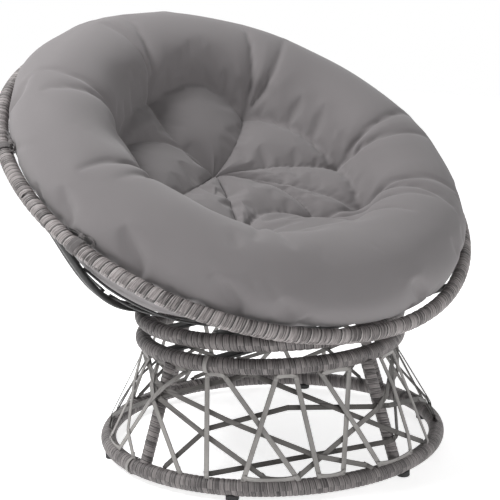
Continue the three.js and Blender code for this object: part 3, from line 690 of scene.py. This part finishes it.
# how thick the bands are that end at a knot, run along a ring and turn round it
END_THICK, RUN_THICK, TURN_THICK = 0.0019, 0.0014, 0.0013
END_WIDER, END_RISE, END_REACH, END_LEAN, END_TIP = 0.0003, 0.0085, 0.018, 0.45, 0.45
RUN_BOW, TURN_SLANT, TURN_CLEAR = 0.005, 0.020, 0.0014
# knots where the strip's end is wound once round the outside of the ring: strip, angle, ring
OUTER_TURNS = ((3, -52, 0), (4, -27, 1))
# screen greys of each strip, with painted shade: the first ones lie deepest and are painted darkest for the
# shade they lie in
STRIP_SHADED_GREYS = ((46, 90), (56, 106), (76, 132), (106, 172), (116, 186))


def flat_finish(name, dark, light):
    """Flat poly-rattan: fine streaks along the strip, rounded edges darkened with painted shade, satin
    sheen.
    UV "wind" holds metres along the strip and the share of its width."""
    made = Finish(name)
    along, across = made.wind()
    from_middle = abs(across * 2.0 - 1.0)
    streak = made.noise(made.node("CombineXYZ", X=along * 24.0, Y=across * 9.0), 1.0, 4.0)
    patch = made.noise(made.place(), 22.0, 2.0)
    body = made.mix((streak * 0.8 + patch * 0.7 - 0.25).clip(), grey_of(dark, dark - 3, dark - 5),
                    grey_of(light, light - 3, light - 6))
    # painted shade: the colour darkens towards both edges of the strip, where its rounding turns away from
    # the light
    rim = made.node("MapRange", Value=from_middle, i1=0.78, i2=1.0, i3=0.0, i4=0.55)
    colour = made.mix(rim, body, grey_of(dark - 24, dark - 26, dark - 27))
    crown = 0.0 - from_middle ** 4.0
    lines = (across * (pi * 10)).sin() * 0.12 + streak * 0.35
    return made.wear(Base_Color=colour, Roughness=0.40 + streak * 0.2,
                     Normal=made.bump(crown + lines, 0.0012, 0.8))


def flat_groups(work):
    """Faces of a mesh in groups that lie flat together."""
    seen = set()
    for seed in work.faces:
        if seed in seen:
            continue
        seen.add(seed)
        group, queue = [], [seed]
        while queue:
            face = queue.pop()
            group.append(face)
            for edge in face.edges:
                for other in edge.link_faces:
                    if other not in seen and face.normal.angle(other.normal, 3) < 0.005:
                        seen.add(other)
                        queue.append(other)
        yield group


def mesh_of(name, work):
    """Mesh of a bmesh, which is freed."""
    mesh = bpy.data.meshes.new(name)
    work.to_mesh(mesh)
    work.free()
    return mesh


def wound_copy(name, node, bars):
    """Copy of a flat strip's CAD mesh with UV "wind" measured on each flat run of faces.
    bars holds the places (low angle, high angle, height) where the CAD joins two knots."""
    work = cad_work(node)
    bmesh.ops.remove_doubles(work, verts=work.verts, dist=1e-6)
    layer = work.loops.layers.uv.new("wind")
    for group in flat_groups(work):
        inside = set(group)
        outline = [e for f in group for e in f.edges if any(o not in inside for o in e.link_faces)]
        longest = max(outline or group[0].edges, key=lambda edge: edge.calc_length())
        line = (longest.verts[1].co - longest.verts[0].co).normalized()
        if max(line[:], key=abs) < 0:
            line.negate()
        side = group[0].normal.cross(line)
        places = [loop.vert.co.dot(side) for face in group for loop in face.loops]
        low, width = min(places), max(max(places) - min(places), STRIP_THICK)
        for face in group:
            for loop in face.loops:
                loop[layer].uv = (loop.vert.co.dot(line), (loop.vert.co.dot(side) - low) / width)
    cut = []
    for face in work.faces:
        middle = np.array(face.calc_center_median()) - AXIS
        for low, high, height in bars:
            turn = (math.atan2(middle[1], middle[0]) - low) % (2 * pi)
            if turn < high - low and all(abs(v.co.z - height) < BAR_HALF for v in face.verts):
                cut.append(face)
                break
    bmesh.ops.delete(work, geom=cut, context="FACES")
    bmesh.ops.holes_fill(work, edges=[e for e in work.edges if e.is_boundary], sides=0)
    return mesh_of(name, work)


def ribbon(name, middle, side, out, width, thick):
    """Closed flat band of rounded section along rows of middle points; side and out are its
    directions across and through. Corner k lies at side * width * x_k + out * thick * y_k."""
    section = np.array([(-0.5, 0), (-0.44, 0.42), (-0.2, 0.5), (0.2, 0.5), (0.44, 0.42),
                        (0.5, 0), (0.44, -0.42), (-0.44, -0.42)])
    around = (section[:, 0] * width)[None, :, None] * side[:, None, :] \
        + (section[:, 1] * thick)[None, :, None] * out[:, None, :]
    run = run_of(middle)
    across = np.append(section[:, 0] + 0.5, 0.0)
    uv = np.stack(np.broadcast_arrays(run[:, None], across[None, :]), -1)
    return capped_mesh(name, middle, middle[:, None, :] + around, uv)


def ring_turn(angle, ring):
    """Stations of one turn of strip round the outside of a ring's tube, on a slight slant."""
    share = np.linspace(0, 1, 41)
    slant = angle + TURN_SLANT * (share - 0.5)
    radius, height = ((BOTTOM_RING_RADIUS, BOTTOM_RING_HEIGHT), (TOP_RING_RADIUS, TOP_RING_HEIGHT))[ring]
    about = pi * (0.5 if ring else -0.5) + 2 * pi * share
    out = spoke(slant[:, None])
    through = np.cos(about)[:, None] * out + np.sin(about)[:, None] * UP
    middle = AXIS + UP * height + radius * out + (RING_TUBE + TURN_CLEAR) * through
    return middle, np.cross(UP, out), through


def knot_place(tree, angle, height):
    """Middle of a strip's thickness there: a ray in towards the axis meets its outer face."""
    out = spoke(angle)
    hit = tree.ray_cast(Vector(AXIS + out * 0.6 + UP * height), Vector(-out))[0]
    return np.array(hit) - out * STRIP_THICK / 2


def run_out(place, other):
    """Stations of a strip's end, on its own line through a knot: from its reach short of the knot
    to half as far beyond it, inside the ring's winding."""
    line = unit(other - place)
    reach = min(END_RISE / max(abs(line[2]), 0.01), END_REACH)
    out = unit((place - AXIS) * (1, 1, 0))
    steps = np.array([-1.0, -0.5, 0.0, 0.25, 0.5])[:, None] * reach
    middle = place + line * steps + out * np.minimum(steps, 0) * END_LEAN
    side = unit(np.cross(line, out + UP * END_TIP))
    through = np.cross(side, line)
    return middle, np.broadcast_to(side, middle.shape), np.broadcast_to(through, middle.shape)


def ring_run(first, last, way):
    """Stations from knot to knot along the ring, bowed up or down into its winding."""
    share = np.linspace(0, 1, 25)[:, None]
    ends = [(math.atan2((p - AXIS)[1], (p - AXIS)[0]), math.hypot(*(p - AXIS)[:2])) for p in (first, last)]
    turn = (ends[1][0] - ends[0][0] + pi) % (2 * pi) - pi
    angle, radius = ends[0][0] + turn * share, ends[0][1] + (ends[1][1] - ends[0][1]) * share
    out = spoke(angle)
    bow = way * RUN_BOW * np.sin(np.pi * share) ** 0.6
    middle = AXIS + radius * out + UP * (first[2] + (last[2] - first[2]) * share + bow)
    return middle, np.broadcast_to(UP, middle.shape), out


def joined(name, meshes):
    """One clean mesh of several, which are removed."""
    work = bmesh.new()
    for mesh in meshes:
        work.from_mesh(mesh)
        bpy.data.meshes.remove(mesh)
    return clean(mesh_of(name, work))


# every strip gets its own copy of the finish, painted darker the deeper it lies: painted shade
for layer, (knots, (dark, light)) in enumerate(zip(WEB_KNOTS, STRIP_SHADED_GREYS)):
    finish = flat_finish(f"web_strip_{layer + 1}", dark, light)
    for row, turned in (("front", 0.0), ("rear", pi)):
        node = f"web_strip_{row}_{layer + 1}"
        angles = [radians(turn) + WEB_TURN + BASE_TURN + turned for turn, _ in knots]
        heights = [WEB_LOW + (WEB_HIGH - WEB_LOW) * share for _, share in knots]
        tree = cad_tree(node)
        places = [knot_place(tree, angle, height) for angle, height in zip(angles, heights)]
        bars, runs = [], []
        for k, (_, share) in enumerate(knots):
            for other in (k - 1, k + 1):
                if share in (0, 1) and 0 <= other < len(knots):
                    if knots[other][1] != share:
                        runs.append((*run_out(places[k], places[other]),
                                     STRIP_WIDTH + END_WIDER, END_THICK))
                    elif other > k:
                        bars.append((*sorted((angles[k], angles[other])), heights[k]))
                        runs.append((*ring_run(places[k], places[other], 1 if share else -1),
                                     STRIP_WIDTH, RUN_THICK))
        for strip_number, turn, ring in OUTER_TURNS:
            if strip_number == layer:
                angle = radians(turn) + WEB_TURN + BASE_TURN + turned
                runs.append((*ring_turn(angle, ring), STRIP_WIDTH, TURN_THICK))
        strip = make_object(f"{node}_flat", wound_copy(f"{node}_flat", node, bars), finish)
        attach(strip, "base")
        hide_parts(node)
        ends = make_object(f"{node}_ends", joined(f"{node}_ends", [ribbon("end", *run) for run in runs]),
                           finish)
        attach(ends, "base")


# Ribs: steel rod bent in upright planes, welded to the rim, resting on the
# support ring and ending at the hub; four single ones and two pairs at the
# sides, where the frame's halves meet. All black powder coat.
RIB_TUBE, HUB_RADIUS, HUB_TUBE, PAIR_APART = 0.007, 0.062, 0.008, 0.024
HUB_MIDDLE = AXIS + np.array([0.0, 0.165, 0.299])
FRONT_DROP, BACK_DROP, SEAT_DROP = radians(10), radians(90), radians(8)
PULL_SHARE, SEAT_GAP = 0.4, 0.0003


def rib_line(phi):
    """Line from rim to hub: two Bezier arcs that meet where the rib rests on the support ring."""
    top = RIM_MIDDLE + RIM_RADIUS * spoke(phi, RIM_UP)
    low = HUB_MIDDLE + HUB_RADIUS * spoke(phi)
    run = (low - top) * (1, 1, 0)
    level = unit(run)
    leaving = FRONT_DROP + (1 + sin(phi)) / 2 * (BACK_DROP - FRONT_DROP)
    leave = level * cos(leaving) - UP * sin(leaving)
    passing = level * cos(SEAT_DROP) - UP * sin(SEAT_DROP)
    start = (top - AXIS) * (1, 1, 0)
    half, over = start @ run / (run @ run), (start @ start - SUPPORT_RING_RADIUS ** 2) / (run @ run)
    clear = RING_TUBE + RIB_TUBE + SEAT_GAP
    rest = AXIS + start - run * (half + math.sqrt(half * half - over)) + UP * (SUPPORT_RING_HEIGHT + clear)
    t = np.linspace(0, 1, 25)[:, None]

    def bezier(a, b, c, d):
        return a * (1 - t) ** 3 + 3 * b * t * (1 - t) ** 2 + 3 * c * t * t * (1 - t) + d * t ** 3
    for _ in range(6):
        upper, lower = (PULL_SHARE * np.linalg.norm(rest - end) for end in (top, low))
        line = np.concatenate([bezier(top, top + leave * upper, rest - passing * upper, rest),
                               bezier(rest, rest + passing * lower, low - level * lower, low)[1:]])
        off = np.hypot(np.hypot(line[:, 0], line[:, 1] - AXIS[1]) - SUPPORT_RING_RADIUS,
                       line[:, 2] - SUPPORT_RING_HEIGHT)
        rest = rest + UP * (clear - off.min())
    return line


def bowl_point(phi, share):
    """Place on the bowl: phi picks the rib line, share runs along it from rim to hub."""
    line = rib_line(phi)
    run = run_of(line)
    return np.array([np.interp(share * run[-1], run, line[:, k]) for k in range(3)])


def bowl_inward(phi, share):
    """Unit direction square to the bowl, on the sitter's side."""
    down = bowl_point(phi, min(share + 0.01, 1)) - bowl_point(phi, max(share - 0.01, 0))
    inward = np.cross(down, bowl_point(phi + 0.01, share) - bowl_point(phi - 0.01, share))
    return unit(inward) * (1 if inward[2] > 0 else -1)


def smooth_line(points, count):
    """The points joined by a Catmull-Rom curve, as count + 1 points at even steps of its index."""
    padded = np.concatenate([2 * points[:1] - points[1:2], points, 2 * points[-1:] - points[-2:-1]])
    place = np.linspace(0, len(points) - 1, count + 1)
    k = np.minimum(place.astype(int), len(points) - 2)
    t = (place - k)[:, None]
    return catmull_rom(*(padded[k + step] for step in range(4)), t)


def round_rod(name, middle, tube, around):
    """Rod of round section along a line; tube is its radius."""
    line = unit(np.gradient(middle, axis=0))
    side = np.empty_like(line)
    turning = np.cross(line[0], UP if abs(line[0][2]) < 0.9 else EAST)
    for k, along in enumerate(line):
        turning = unit(turning - along * (along @ turning))
        side[k] = turning
    through = np.cross(line, side)
    v = np.linspace(0, 2 * np.pi, around, endpoint=False)[None, :, None]
    rows = middle[:, None, :] + tube * (np.cos(v) * side[:, None] + np.sin(v) * through[:, None])
    return clean(capped_mesh(name, middle, rows))


def powder_coat(name, grey, roughness):
    """Black powder coat: a fine orange-peel grain, a little dust on it, and a soft gloss."""
    made = Finish(name)
    grain = made.noise(made.place(), 700.0, 2.0)
    dust = made.noise(made.place(), 14.0, 4.0)
    colour = made.mix((dust * 1.6 - 0.6).clip(), grey_of(grey, grey, grey),
                      grey_of(grey + 22, grey + 21, grey + 20))
    return made.wear(Base_Color=colour, Roughness=roughness + dust * 0.18, Coat_Weight=0.25,
                     Coat_Roughness=0.3, Normal=made.bump(grain, 0.0002, 0.35))


rod_coat = powder_coat("rod_coat", 30, 0.30)
for row, start in HALVES:
    for label, angle, aside in (("1", pi / 3, 0), ("2", pi * 2 / 3, 0), ("pair_1", 0.0, 1),
                                ("pair_2", pi, -1)):
        phi = start + angle
        shares = np.linspace(0, 1, 29)
        widths = RIM_RADIUS + (HUB_RADIUS - RIM_RADIUS) * shares
        path = np.array([bowl_point(phi + aside * PAIR_APART / 2 / width, share)
                         for share, width in zip(shares, widths)])
        rib = make_object(f"rib_{row}_{label}_rod",
                          round_rod("rib", smooth_line(path, 112), RIB_TUBE, 18), rod_coat)
        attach(rib, "bowl")
        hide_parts(f"rib_{row}_{label}")


# Wires: five half hoops of thin steel wire to each half of the bowl, laid on
# the ribs and spot welded to each one; the welds are small flat beads.
WIRE_TUBE, WIRE_END, WIRE_GAP, WIRE_GAP_GROWTH = 0.0025, 0.004, 0.0001, 0.00075
BEAD_RADIUS, BEAD_HEIGHT, BEAD_RISE = 0.0046, 0.0020, 0.0006
wire_coat = powder_coat("wire_coat", 36, 0.24)
for row, start in HALVES:
    beads = bmesh.new()
    for number in range(1, 6):
        share = number / 6
        width = RIM_RADIUS + (HUB_RADIUS - RIM_RADIUS) * share
        inset = (PAIR_APART / 2 - WIRE_END) / width
        lift = RIB_TUBE + WIRE_TUBE + WIRE_GAP + WIRE_GAP_GROWTH * share
        places = half_turn(start, inset, np.linspace(0, 1, 17))
        path = np.array([bowl_point(phi, share) + bowl_inward(phi, share) * lift for phi in places])
        wire = make_object(f"wire_{row}_{number}_rod",
                           round_rod("wire", smooth_line(path, 96), WIRE_TUBE, 12), wire_coat)
        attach(wire, "bowl")
        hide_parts(f"wire_{row}_{number}")
        beside = PAIR_APART / 2 / width
        for phi in (start + beside, start + pi / 3, start + pi * 2 / 3, start + pi - beside):
            inward = bowl_inward(phi, share)
            spot = bowl_point(phi, share) + inward * (RIB_TUBE + BEAD_RISE)
            squash = Matrix.LocRotScale(Vector(spot), Vector(inward).to_track_quat("Z", "Y"),
                                        Vector((BEAD_RADIUS, BEAD_RADIUS, BEAD_HEIGHT)))
            bmesh.ops.create_uvsphere(beads, u_segments=12, v_segments=8, radius=1.0, matrix=squash)
    weld = make_object(f"weld_beads_{row}", clean(mesh_of(f"weld_beads_{row}", beads)), wire_coat)
    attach(weld, "bowl")


# Hub: a small hoop of bent tube in two halves at the bottom of the bowl, one
# to each half of the frame; the ribs run into it and are welded to it.
for row, start in HALVES:
    gap = SEAM_HALF * RIM_RADIUS / HUB_RADIUS
    angle = half_turn(start, gap, np.linspace(0, 1, 61))[:, None]
    path = HUB_MIDDLE + HUB_RADIUS * spoke(angle)
    hub = make_object(f"hub_{row}_tube", round_rod("hub", path, HUB_TUBE, 24), rod_coat)
    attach(hub, "bowl")
    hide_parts(f"hub_{row}")


# Cross bars, spigots and swivel: flat steel bars welded into each ring carry
# two pressed plates, which turn on a race of balls round a zinc plated king
# pin; two steel spigots plug the rim's halves together.
def eased_copy(name, node, body, width, material):
    """Copy of a CAD node's mesh, merged by distance, its sharp edges eased by a bevel."""
    work = cad_work(node)
    bmesh.ops.remove_doubles(work, verts=work.verts, dist=1e-6)
    bmesh.ops.dissolve_limit(work, angle_limit=radians(1), verts=work.verts, edges=work.edges)
    sharp = [edge for edge in work.edges
             if len(edge.link_faces) == 2 and edge.calc_face_angle() > radians(50)]
    bmesh.ops.bevel(work, geom=sharp, offset=width, offset_type="OFFSET", segments=2, profile=0.6,
                    affect="EDGES", clamp_overlap=True)
    mesh = mesh_of(name, work)
    copy = make_object(name, mesh, material)
    mesh.polygons.foreach_set("use_smooth", np.ones(len(mesh.polygons), dtype=bool))
    mesh.set_sharp_from_angle(angle=radians(38))
    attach(copy, body)
    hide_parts(node)


bar_coat = powder_coat("bar_coat", 38, 0.42)
for node, body in (("base_crossbar_front", "base"), ("base_crossbar_rear", "base"),
                   ("seat_crossbar_front", "bowl"), ("seat_crossbar_rear", "bowl"),
                   ("swivel_lower_plate", "base"), ("swivel_upper_plate", "bowl")):
    eased_copy(f"{node}_eased", node, body, 0.0009, bar_coat)
for side_name in ("right", "left"):
    eased_copy(f"rim_spigot_{side_name}_eased", f"rim_spigot_{side_name}", "bowl",
               0.0008, bar_coat)

plated = Finish("zinc_plate")
clouds = plated.noise(plated.place(), 60.0, 3.0)
rings = plated.noise(plated.place(), 420.0, 2.0)
for node in ("swivel_bearing_ring", "swivel_king_pin"):
    eased_copy(f"{node}_eased", node, "base", 0.0007, plated.wear(
        Base_Color=plated.mix(clouds, grey_of(128, 131, 134), grey_of(162, 165, 166)), Metallic=0.9,
        Roughness=0.28 + clouds * 0.25, Normal=plated.bump(rings, 0.0001, 0.3)))


# Feet: six moulded plastic glides under the bottom ring, cupped to its tube,
# with a rounded lower edge and a faint moulding line.
FOOT_RADIUS, FOOT_EASE, FOOT_TOP, FOOT_TURN = 0.013, 0.0018, 0.013, radians(33.5)
FOOT_FLAT, CUP_RADII = 0.006, (FOOT_RADIUS, 0.011, 0.008, 0.004, 0.0)
LINE_HEIGHT, LINE_HALF, LINE_DEPTH = 0.0056, 0.0004, 0.0003
glide = Finish("glide_plastic")
speckle = glide.noise(glide.place(), 520.0, 2.0)
scuffs = glide.noise(glide.place(), 90.0, 4.0)
glide_plastic = glide.wear(Base_Color=glide.mix(scuffs, grey_of(20, 20, 21), grey_of(40, 40, 41)),
                           Roughness=0.45 + scuffs * 0.25, Normal=glide.bump(speckle, 0.0002, 0.4))
for number in range(6):
    angle = FOOT_TURN + BASE_TURN + number * pi / 3
    out = spoke(angle)
    along = np.cross(UP, out)
    v = np.linspace(0, 2 * np.pi, 48, endpoint=False)
    sweep = np.linspace(0, pi / 2, 6)
    profile = [(0.0, 0.0), (FOOT_FLAT, 0.0)]
    profile += [(FOOT_RADIUS - FOOT_EASE * (1 - sin(a)), FOOT_EASE * (1 - cos(a))) for a in sweep]
    profile += [(FOOT_RADIUS, LINE_HEIGHT - LINE_HALF), (FOOT_RADIUS - LINE_DEPTH, LINE_HEIGHT),
                (FOOT_RADIUS, LINE_HEIGHT + LINE_HALF)]
    rows = [(r, np.full_like(v, z)) for r, z in profile]
    for r in CUP_RADII:
        off = np.clip(r * np.cos(v), -RING_TUBE, RING_TUBE)
        cup = BOTTOM_RING_HEIGHT - np.sqrt(RING_TUBE ** 2 - off ** 2) - SEAT_GAP
        rows.append((r, np.minimum(FOOT_TOP, cup)))
    points = np.array([AXIS + out * (BOTTOM_RING_RADIUS + (r * np.cos(v))[:, None])
                       + along * (r * np.sin(v))[:, None] + UP * z[:, None] for r, z in rows])
    foot = make_object(f"foot_{number + 1}_glide", clean(grid_mesh("foot", points, False, True)),
                       glide_plastic)
    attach(foot, "base")
    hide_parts(f"foot_{number + 1}")


# Ties: the cushion's woven ribbons, wound round the rim beside its halves'
# joints, knotted on the inner side in a loop and two short tails.
TIE_WIDTH, TIE_THICK = 0.011, 0.0009
# the steps of a rim's half, of RIM_STEPS even ones, in which its ribbons are tied
TIE_STEPS, RIM_STEPS = (2, 24), 27
WOUND_FROM, WOUND_TURNS, WOUND_SPREAD, WOUND_CLEAR = radians(150), 2, 0.006, 0.0016
KNOT_TURN, KNOT_REACH, KNOT_SIZE = radians(118), 0.0215, (0.0075, 0.0058, 0.0048)
KNOT_FOLDS, KNOT_FOLD_SHARE = 9, 0.16
LOOP_LENGTH, LOOP_HALF, TAIL_LENGTHS = 0.030, 0.0075, (0.062, 0.048)


def ribbon_cloth():
    """Woven ribbon: fine ribs across it, a paler selvedge and soft folds."""
    made = Finish("ribbon_cloth")
    along, across = made.wind()
    ribs = (along * 5200.0).sin()
    soft = made.noise(made.place(), 60.0, 3.0)
    selvedge = made.node("MapRange", Value=abs(across * 2.0 - 1.0), i1=0.84, i2=0.96,
                         i3=0.0, i4=0.5)
    colour = made.mix(soft, grey_of(78, 74, 74), grey_of(112, 108, 108))
    return made.wear(Base_Color=made.mix(selvedge, colour, grey_of(132, 128, 128)), Roughness=0.85,
                     Sheen_Weight=0.2, Normal=made.bump(ribs * 0.5 + soft, 0.0005, 0.5))


def tie_stations(frame_of, path):
    """Stations of a ribbon on the rim's own directions: path rows are places along the rim, out of
    it and up from it; the ribbon lies square to the line from the rim's middle."""
    centre, along, outward, up = frame_of
    middle = centre + path[:, :1] * along + path[:, 1:2] * outward + path[:, 2:3] * up
    line = np.gradient(middle, axis=0)
    through = path[:, 1:2] * outward + path[:, 2:3] * up + 1e-9 * along
    slant = (np.sum(through * line, axis=1) / np.sum(line * line, axis=1))[:, None]
    through = unit(through - line * slant)
    return middle, unit(np.cross(line, through)), through


tie_cloth = ribbon_cloth()
for row, start in HALVES:
    for number, step in enumerate(TIE_STEPS):
        phi = half_turn(start, SEAM_HALF, (step + 0.5) / RIM_STEPS)
        outward = spoke(phi, RIM_UP)
        along = -sin(phi) * EAST + cos(phi) * RIM_UP
        if (step < RIM_STEPS / 2) == (row == "back"):
            along = -along
        about = (RIM_MIDDLE + RIM_RADIUS * outward, along, outward, RIM_OUT)
        share = np.linspace(0, 1, 73)
        turn = WOUND_FROM + 2 * pi * WOUND_TURNS * share
        reach = RIM_TUBE + WOUND_CLEAR + 0.0010 * share
        wound = np.stack([WOUND_SPREAD * np.sin((share - 0.5) * pi) + 0.0016 * np.sin(turn),
                          reach * np.cos(turn), reach * np.sin(turn)], -1)
        t = np.linspace(0, 1, 33)
        knot = np.array([0.0, KNOT_REACH * cos(KNOT_TURN), KNOT_REACH * sin(KNOT_TURN)])
        loop = knot + np.stack([LOOP_LENGTH * np.sin(pi * t), -0.0022 * np.sin(2 * pi * t),
                                LOOP_HALF * np.sin(2 * pi * t) + 0.002 * np.sin(pi * t)], -1)
        parts = [ribbon("turns", *tie_stations(about, wound), TIE_WIDTH, TIE_THICK),
                 ribbon("loop", *tie_stations(about, loop), TIE_WIDTH * 0.8, TIE_THICK)]
        ball = bmesh.new()
        middle = about[0] + knot[1] * outward + knot[2] * RIM_OUT
        lie = Matrix((tuple(along), tuple(outward), tuple(RIM_OUT))).transposed().to_quaternion()
        lump = Matrix.LocRotScale(Vector(middle), lie, Vector(KNOT_SIZE))
        bmesh.ops.create_uvsphere(ball, u_segments=28, v_segments=16, radius=1.0, calc_uvs=False,
                                  matrix=lump)
        for vert in ball.verts:
            away = vert.co - Vector(middle)
            around = math.atan2(away.dot(Vector(RIM_OUT)), away.dot(Vector(along)))
            vert.co += away * KNOT_FOLD_SHARE * sin(KNOT_FOLDS * around)
        ball_mesh = bpy.data.meshes.new("knot")
        ball_mesh.uv_layers.new(name="wind")
        ball.to_mesh(ball_mesh)
        ball.free()
        knot_name = f"tie_{row}_{number + 1}_knot"
        tie = make_object(knot_name, joined(knot_name, parts + [ball_mesh]), tie_cloth)
        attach(tie, "bowl")
        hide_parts(f"tie_band_{row}_{number + 1}")
        for way, length in zip((-1, 1), TAIL_LENGTHS):
            s = np.linspace(0, 1, 25)
            tail = knot + np.stack([-length * 0.9 * s, -0.0035 * way * np.sin(2.2 * s) + 0.003 * way * s,
                                    0.004 * way * s - 0.009 * s * s + 0.0016 * np.sin(7 * s)], -1)
            piece = make_object(f"tie_{row}_{number + 1}_tail_{1 if way < 0 else 2}", clean(ribbon(
                "tail", *tie_stations(about, tail), TIE_WIDTH, TIE_THICK)), tie_cloth)
            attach(piece, "bowl")
